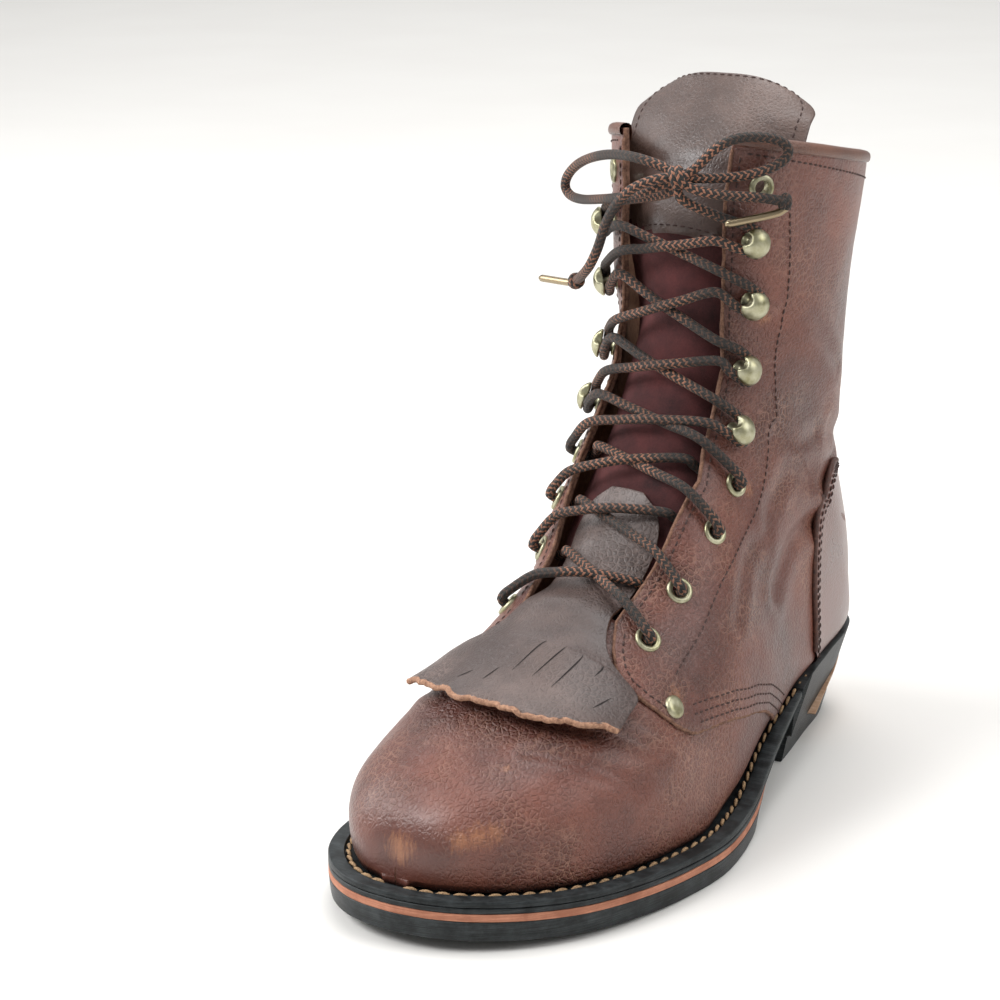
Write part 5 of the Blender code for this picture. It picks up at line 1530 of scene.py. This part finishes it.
eyelet_places = [(row[0], row[1], 0.0) for row in EYELETS] + [(row[2], -row[3], 0.0) for row in EYELETS]
eyelet_profile = [(EYELET_OPENING, -0.0030), (EYELET_OPENING, 0.0002)]
rim_middle = (EYELET_OPENING + EYELET_RADIUS) / 2
rim_half = (EYELET_RADIUS - EYELET_OPENING) / 2
for k in range(9):
    turn = math.pi * k / 8
    eyelet_profile.append((rim_middle - rim_half * math.cos(turn), 0.0002 + EYELET_RIM * math.sin(turn)))
eyelet_profile.append((EYELET_RADIUS, -0.0003))
eyelets = link("eyelet_rings", turned_mesh("eyelet_rings", eyelet_profile, eyelet_places), [NICKEL])
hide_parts(*[f"eyelet_{side}_{n}" for side in ("lateral", "medial") for n in range(1, 6)])

hook_places = [(row[0], row[1], 0.0) for row in HOOKS] + [(row[2], -row[3], 0.0) for row in HOOKS]


def bitten(radius, turn):
    """The hook's head is cut by a round bite on the side of the throat, which leaves two ears."""
    ahead = -math.cos(turn)
    inside = HOOK_BITE**2 - (HOOK_BITE_PLACE * math.sin(turn)) ** 2
    if ahead <= 0 or inside <= 0:
        return radius
    return min(radius, HOOK_BITE_PLACE * ahead - math.sqrt(inside))


top = HOOK_HEIGHT
head_profile = [(0.0001, top)]
for k in range(1, 8):
    share = k / 7
    head_profile.append((HOOK_RADIUS * share, top - 0.0026 * share**2.4))
head_profile += [
    (HOOK_RADIUS, top - 0.0033),
    (HOOK_RADIUS * 0.93, top - 0.0034),
    (HOOK_RADIUS * 0.5, top - 0.0020),
    (0.0001, top - 0.0012),
]
heads = link("hook_heads", turned_mesh("hook_heads", head_profile, hook_places, 72, bitten), [NICKEL])
neck_profile = [
    (HOOK_BASE, 0.0),
    (HOOK_BASE, 0.0005),
    (HOOK_BASE * 0.9, 0.0009),
    (HOOK_NECK * 1.25, 0.0011),
    (HOOK_NECK, 0.0020),
    (HOOK_NECK, top - 0.0034),
    (HOOK_NECK * 1.5, top - 0.0016),
]
necks = link("hook_necks", turned_mesh("hook_necks", neck_profile, hook_places), [NICKEL])
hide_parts(*[f"hook_{side}_{n}" for side in ("lateral", "medial") for n in range(1, 5)])
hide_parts(*[f"hook_{side}_{n}" for side in ("lateral", "medial") for n in range(1, 5)])

rivet_profile = [(0.0001, RIVET_HEIGHT)]
for k in range(1, 7):
    share = k / 6
    rivet_profile.append((RIVET_RADIUS * share, RIVET_HEIGHT - 0.0008 * share**5))
rivet_profile += [(RIVET_RADIUS, -0.0006)]
rivet_places = [(RIVET_PLACE[0], sign * RIVET_PLACE[1], 0.0) for _, sign in SIDES]
rivets = link("rivet_heads", turned_mesh("rivet_heads", rivet_profile, rivet_places), [NICKEL])
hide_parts("rivet_lateral", "rivet_medial")


# Lacing: the same lace, laid from side to side from the hooks down to the lowest eyelets. It passes
# behind each hook's head and through each eyelet, and leaves an eyelet under the facing.
KILTIE_CROSSINGS = 2
LACE_OVER_KILTIE = -0.0004
LACE_OVER_TONGUE = -0.0022
LACED_EYELETS = 4
CROSS_LIFT = 0.0014


def panel_lift(number, around):
    """The quarter's lift, which is nothing in front of the quarter's edge."""
    behind_edge = number > read_table(QUARTER_EDGE, abs(around))
    return float(quarter_lift(number, around)) if behind_edge else 0.0


def lacing_places():
    """Each level of the lacing from the bottom: whether it is a hook, and its two places."""
    levels = []
    for row in EYELETS[:LACED_EYELETS]:
        levels.append((False, (row[0], row[1]), (row[2], -row[3])))
    for row in HOOKS:
        levels.append((True, (row[0], row[1]), (row[2], -row[3])))
    return levels


def strand_start(is_hook, spot):
    """Where a strand sets out across the throat: from under the facing, or from below a hook."""
    number, around = spot
    side = math.copysign(1, around)
    radius = LACE_DIAMETER / 2
    if is_hook:
        lace_height = CLEARANCE * 2 + EYELET_RIM + radius
        turn = HOOK_NECK + CLEARANCE + radius
        return [
            near(number, around, rise=-turn, away=-0.5 * turn, out=lace_height),
            near(number, around, rise=-turn * 1.1, away=-1.5 * turn, out=lace_height),
            edge_point(number - 0.42, side),
        ]
    number = number - 0.25
    edge = side * facing_edge(number)
    depth = -(WALL + CLEARANCE * 2 + radius)
    return [
        sunk(number, edge - side * 0.008, depth),
        sunk(number - 0.08, edge - side * 0.045, depth * 0.55),
    ]


def edge_point(number, side):
    """Where a strand crosses the facing's edge, just over the leather."""
    edge = facing_edge(number)
    out = LACE_DIAMETER / 2 + CLEARANCE * 3 + panel_lift(number, edge)
    return sunk(number, side * (edge - 0.02), out)


def strand_end(is_hook, spot):
    """Where a strand from above arrives: over an eyelet, or round a hook's neck."""
    number, around = spot
    radius = LACE_DIAMETER / 2
    side = math.copysign(1, around)
    if is_hook:
        lace_height = CLEARANCE * 2 + EYELET_RIM + radius
        turn = HOOK_NECK + CLEARANCE * 2 + radius
        return [
            edge_point(number + 0.42, side),
            near(number, around, rise=turn, away=-1.6 * turn, out=lace_height),
            near(number, around, rise=turn, away=-0.2 * turn, out=lace_height),
            near(number, around, rise=0.7 * turn, away=0.8 * turn, out=lace_height),
            near(number, around, rise=-0.1 * turn, away=1.08 * turn, out=lace_height),
            near(number, around, rise=-0.8 * turn, away=0.7 * turn, out=lace_height),
        ]
    over = EYELET_RIM + CLEARANCE * 2 + radius
    return [
        edge_point(number + 0.25, side),
        near(number, around, rise=0.001, away=-0.0055, out=over),
        near(number, around, away=-0.0020, out=over + 0.0003),
        near(number, around, away=0.0004, out=over - 0.0007),
    ]


def crossing(upper_level, lower_level, from_lateral, height):
    """The run of lace from one side's place to the other side's place a level below."""
    start_spot = upper_level[1] if from_lateral else upper_level[2]
    end_spot = lower_level[2] if from_lateral else lower_level[1]
    start = strand_start(upper_level[0], start_spot)
    end = strand_end(lower_level[0], end_spot)
    if not upper_level[0]:
        number, around = start_spot
        depth = -(WALL + LACE_DIAMETER * 0.6)
        start = [sunk(number - 0.02, around, depth), sunk(number - 0.16, around * 0.85, depth * 1.15)] + start
    number = (start_spot[0] + end_spot[0]) / 2
    normal = directions(number, 0.0)[2]
    low = sunk(number, 0.0, height)
    middle = (start[-1] + end[0]) / 2
    lift = max(0.0, float(np.dot(low - middle, normal))) + (CROSS_LIFT if from_lateral else -CROSS_LIFT * 0.8)
    shape = [start[-1] + (end[0] - start[-1]) * s for s in (0.3, 0.5, 0.7)]
    shape = [spot + normal * lift * w for spot, w in zip(shape, (0.8, 1.0, 0.8))]
    return start + shape + end


levels = lacing_places()
for side, first_place in (("lateral", HOOK_STRAND_LATERAL), ("medial", HOOK_STRAND_MEDIAL)):
    from_lateral = side == "lateral"
    top_level = levels[-1]
    route = [knot_centre, by_collar(*first_place)]
    route += strand_end(True, top_level[1] if from_lateral else top_level[2])
    for count in range(len(levels) - 2, -1, -1):
        height = LACE_OVER_KILTIE if count < KILTIE_CROSSINGS else LACE_OVER_TONGUE
        route += crossing(levels[count + 1], levels[count], from_lateral, height)
        from_lateral = not from_lateral
    number, around = levels[0][1] if from_lateral else levels[0][2]
    route += [sunk(number, around, -0.0012), sunk(number, around, -(WALL + LACE_DIAMETER * 0.6))]
    path = smooth_route(route, 0.0010)
    lacing = link(f"lacing_{side}", tube_mesh(f"lacing_{side}", path, LACE_DIAMETER / 2), [BRAID])
    nodes = [f"lace_strand_{side}"] + [f"lace_crossing_{n}" for n in range(1, len(levels))]
    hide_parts(*nodes)

# Sole: a black rubber welt and midsole, a thin brown layer and a black rubber outsole, glued and
# ground flush at the edge. The welt is sewn on with thick tan thread in a groove beside the upper.
WELT_BACK = 0.092
WAIST_BEVEL = 0.0060
BASE_THICKNESS = 0.0070
BREAST_SPLIT = 0.0110
STEP_RUN = 0.0005
HEEL_LENGTH = 0.084
HEEL_UNDERCUT = 0.010
INSOLE_THICKNESS = 0.0030
LAYER_STEPS = 330
WELT_STITCH_PITCH = 0.0056
WELT_STITCH_LENGTH = 0.0052
WELT_STITCH_RADIUS = 0.00068
STITCHED_FROM = 0.076
GROOVE_WIDTH = 0.0037
GROOVE_DEPTH = 0.0016
STITCH_INSET = 0.0022
STITCH_SUNK = 0.0007
HALF_WEDGE = 0.70
FOOTBED_CLEAR = 0.0021


def heel_split(along):
    """Where the black band ends over the tan wedge."""
    drop = smooth((np.asarray(along, float) - 0.24 * HEEL_LENGTH) / (0.55 * HEEL_LENGTH))
    return HEEL_RISE + (BREAST_SPLIT - HEEL_RISE) * drop


def base_top(along):
    """Top of the heel's base: it meets the black band near the breast."""
    share = np.clip(np.asarray(along, float) / (0.79 * HEEL_LENGTH), 0, 1)
    return BASE_THICKNESS + (BREAST_SPLIT - CLEARANCE - BASE_THICKNESS) * share


def midsole_top(along, shift=0.0):
    """The midsole fills the welt's depth behind the welt's ends."""
    drop = np.clip((np.asarray(along, float) - shift - WELT_BACK + 2 * STEP_RUN) / STEP_RUN, 0, 1)
    return sole_top(along) - WELT_THICKNESS * drop


def midsole_low(along):
    """Under the heel the midsole reaches down to the wedge and the base."""
    along = np.asarray(along, float)
    forward = np.clip((along - HEEL_LENGTH) / STEP_RUN, 0, 1)
    under = tread(along) + OUTSOLE_THICKNESS + SLIP_THICKNESS
    return heel_split(along) * (1 - forward) + under * forward


def side_lines(inset, back, front):
    """The medial and the lateral edge of a layer, each as evenly spaced (along, x) points."""
    sides = []
    for line in outline_sides(inset):
        first = line[0, 0] if back is None else back
        last = line[-1, 0] if front is None else front
        inside = line[(line[:, 0] > first + 1e-6) & (line[:, 0] < last - 1e-6)]
        ends = [[at, np.interp(at, line[:, 0], line[:, 1])] for at in (first, last)]
        full = np.array([ends[0], *inside, ends[1]])
        run = run_of(full)
        even = np.linspace(0, run[-1], LAYER_STEPS)
        sides.append(np.stack([np.interp(even, run, full[:, k]) for k in (0, 1)], -1))
    return sides


def layer_mesh(name, profile, back=None, front=None, closed=True):
    """A layer of the sole: profile rows are (inset, height), both as functions of the place along."""
    rings = []
    for inset, height in profile:
        medial, lateral = side_lines(inset, back, front)
        loop = np.concatenate([lateral, medial[::-1]])
        up = np.asarray(height(loop[:, 0]), float) * np.ones(len(loop))
        rings.append(np.stack([loop[:, 1], SOLE_LENGTH / 2 - loop[:, 0], up], -1))
    count = len(rings[0])
    faces = ring_faces(0, len(rings), count, closed)
    if closed:
        for base in (0, (len(rings) - 1) * count):
            for k in range(LAYER_STEPS - 1):
                faces.append((base + k, base + k + 1, base + count - 2 - k, base + count - 1 - k))
    return outward_mesh(name, np.concatenate(rings), faces, weld=True)


def more(function, by):
    """An inset or a height along the sole, with so much added."""
    return lambda along: np.asarray(function(along)) + by


def edge_rows_of(low, high, low_inset, high_inset, soft=0.0005):
    """The side of a layer with its two edges slightly rounded."""
    return [
        (more(low_inset, 2.2 * soft), low),
        (more(low_inset, 0.5 * soft), more(low, 0.3 * soft)),
        (low_inset, more(low, soft)),
        (high_inset, more(high, -soft)),
        (more(high_inset, 0.5 * soft), more(high, -0.3 * soft)),
        (more(high_inset, 2.2 * soft), high),
    ]


def ground_rubber(name, dark, light, roughness, lines):
    """Black or coloured rubber whose edge was ground: fine lines run round the boot, with pale dust."""
    material, tree, shader = new_material(name, roughness)
    shader.inputs["Specular IOR Level"].default_value = 0.24
    spots = add_node(tree, "TexCoord")["Object"]
    stretch = add_node(tree, "Mapping", {"Vector": spots, "Scale": (60.0, 60.0, 2600.0)})[0]
    scored_noise = {"Vector": stretch, "Scale": 1.0, "Detail": 5.0, "Roughness": 0.7}
    dust_noise = {"Vector": spots, "Scale": 130.0, "Detail": 6.0, "Roughness": 0.7}
    scored = add_node(tree, "TexNoise", scored_noise)[0]
    dust = add_node(tree, "TexNoise", dust_noise)[0]
    both = add_node(tree, "Math", (scored, dust), operation="MULTIPLY")[0]
    share = add_node(tree, "MapRange", (both, 0.18, 0.42))[0]
    paint(tree, shader, share, dark, light, both, 0.7, lines)
    return material


BLACK_RUBBER = ground_rubber("ground black rubber", "#141718", "#3c4143", 0.44, 0.0003)
BROWN_LAYER = ground_rubber("ground brown rubber", "#99644e", "#c78b70", 0.7, 0.0002)
outsole_high = more(tread, OUTSOLE_THICKNESS)
slip_high = more(tread, OUTSOLE_THICKNESS + SLIP_THICKNESS)
welt_low = more(sole_top, -WELT_THICKNESS)


def share_of_waist(share):
    return lambda along: share * waist_inset(along)


behind = HEEL_LENGTH + STEP_RUN + CLEARANCE
rows = edge_rows_of(tread, outsole_high, more(share_of_waist(1.5), 0.0006), share_of_waist(0.6), 0.0004)
outsole = link("rubber_outsole", layer_mesh("rubber_outsole", rows, back=behind), [BLACK_RUBBER])
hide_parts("outsole")
rows = edge_rows_of(outsole_high, slip_high, share_of_waist(0.55), share_of_waist(0.4), 0.00015)
slip = link("brown_layer", layer_mesh("brown_layer", rows, back=behind), [BROWN_LAYER])
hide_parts("slip_layer")
HEEL_TOP = float(sole_top(0))


def midsole_low_inset(along):
    along = np.asarray(along, float)
    under_heel = np.clip(1 - (along - HEEL_LENGTH) / STEP_RUN, 0, 1)
    share = np.clip(1 - heel_split(along) / HEEL_TOP, 0, 1)
    return HEEL_UNDERCUT * share * under_heel + 0.3 * waist_inset(along) * (1 - under_heel)


rows = edge_rows_of(midsole_low, midsole_top, midsole_low_inset, no_inset, 0.0004)
midsole = link("rubber_midsole", layer_mesh("rubber_midsole", rows), [BLACK_RUBBER])
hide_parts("midsole")


def groove_start(along):
    return np.maximum(feather_inset(along) - GROOVE_WIDTH, 0.0010)


welt_rows = [
    (more(feather_inset, 0.0040), welt_low),
    (more(no_inset, 0.0005), welt_low),
    (no_inset, more(welt_low, 0.0004)),
    (no_inset, more(sole_top, -0.0007)),
    (more(no_inset, 0.0003), more(sole_top, -0.0002)),
    (more(no_inset, 0.0009), sole_top),
    (groove_start, sole_top),
    (more(groove_start, 0.0003), more(sole_top, -GROOVE_DEPTH * 0.8)),
    (more(groove_start, 0.0008), more(sole_top, -GROOVE_DEPTH)),
    (more(feather_inset, 0.0040), more(sole_top, -GROOVE_DEPTH)),
]
mesh = layer_mesh("rubber_welt", welt_rows, back=WELT_BACK, closed=False)
welt = link("rubber_welt", mesh, [BLACK_RUBBER])
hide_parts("welt")



def stitch_inset(along):
    return np.maximum(feather_inset(along) - STITCH_INSET, 0.0012)


stitch_lines = []
for line in side_lines(stitch_inset, STITCHED_FROM, None):
    up = sole_top(line[:, 0]) - STITCH_SUNK
    spots = np.stack([line[:, 1], SOLE_LENGTH / 2 - line[:, 0], up], -1)
    stitch_lines.append((spots, np.tile([0.0, 0.0, 1.0], (len(spots), 1))))
welt_thread = plain_leather("waxed tan thread", "#6b5038", "#c9a67c", 0.75, 1500.0, 0.0005)
thread_sizes = (WELT_STITCH_PITCH, WELT_STITCH_LENGTH, WELT_STITCH_RADIUS)
mesh = stitch_mesh("welt_stitches", stitch_lines, *thread_sizes, slant=0.20)
welt_stitches = link("welt_stitches", mesh, [welt_thread])

# Heel: the black band of the midsole over a tan wedge that thins towards the front, on a black
# rubber base. Its back slants in under the boot.


def band_inset_at(height):
    """How far the heel's side stands in at a height, as it slants in under the boot."""
    share = min(max(1 - height / HEEL_TOP, 0.0), 1.0)
    return more(no_inset, HEEL_UNDERCUT * share)


wedge_low = more(base_top, CLEARANCE)
wedge_high = more(heel_split, -CLEARANCE)
rows = edge_rows_of(wedge_low, wedge_high, band_inset_at(BASE_THICKNESS), band_inset_at(HEEL_RISE), 0.0002)
TAN_LIFT = ground_rubber("ground tan lift", "#b58f74", "#dcbea4", 0.75, 0.0002)
wedge = link("tan_wedge", layer_mesh("tan_wedge", rows, front=HALF_WEDGE * HEEL_LENGTH), [TAN_LIFT])
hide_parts("heel_wedge")


def heel_floor(along):
    return np.zeros_like(np.asarray(along, float))


def heel_base_top(along):
    return np.minimum(base_top(along), heel_split(along) - CLEARANCE)


rows = edge_rows_of(heel_floor, heel_base_top, band_inset_at(0.0), band_inset_at(BASE_THICKNESS), 0.0006)
heel_base = link("rubber_heel_base", layer_mesh("rubber_heel_base", rows, front=HEEL_LENGTH), [BLACK_RUBBER])
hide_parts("heel_base")

# Footbed: a plain leather-covered board inside the upper.


def footbed_low(along):
    return midsole_top(along, shift=0.0012) + CLEARANCE


footbed_inset = more(feather_inset, WALL + FOOTBED_CLEAR)
rows = edge_rows_of(footbed_low, more(sole_top, INSOLE_THICKNESS), footbed_inset, footbed_inset, 0.0006)
FOOTBED = plain_leather("worn footbed leather", "#6f523c", "#a98565", 0.8, 140.0)
footbed = link("footbed_board", layer_mesh("footbed_board", rows), [FOOTBED])
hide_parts("insole")
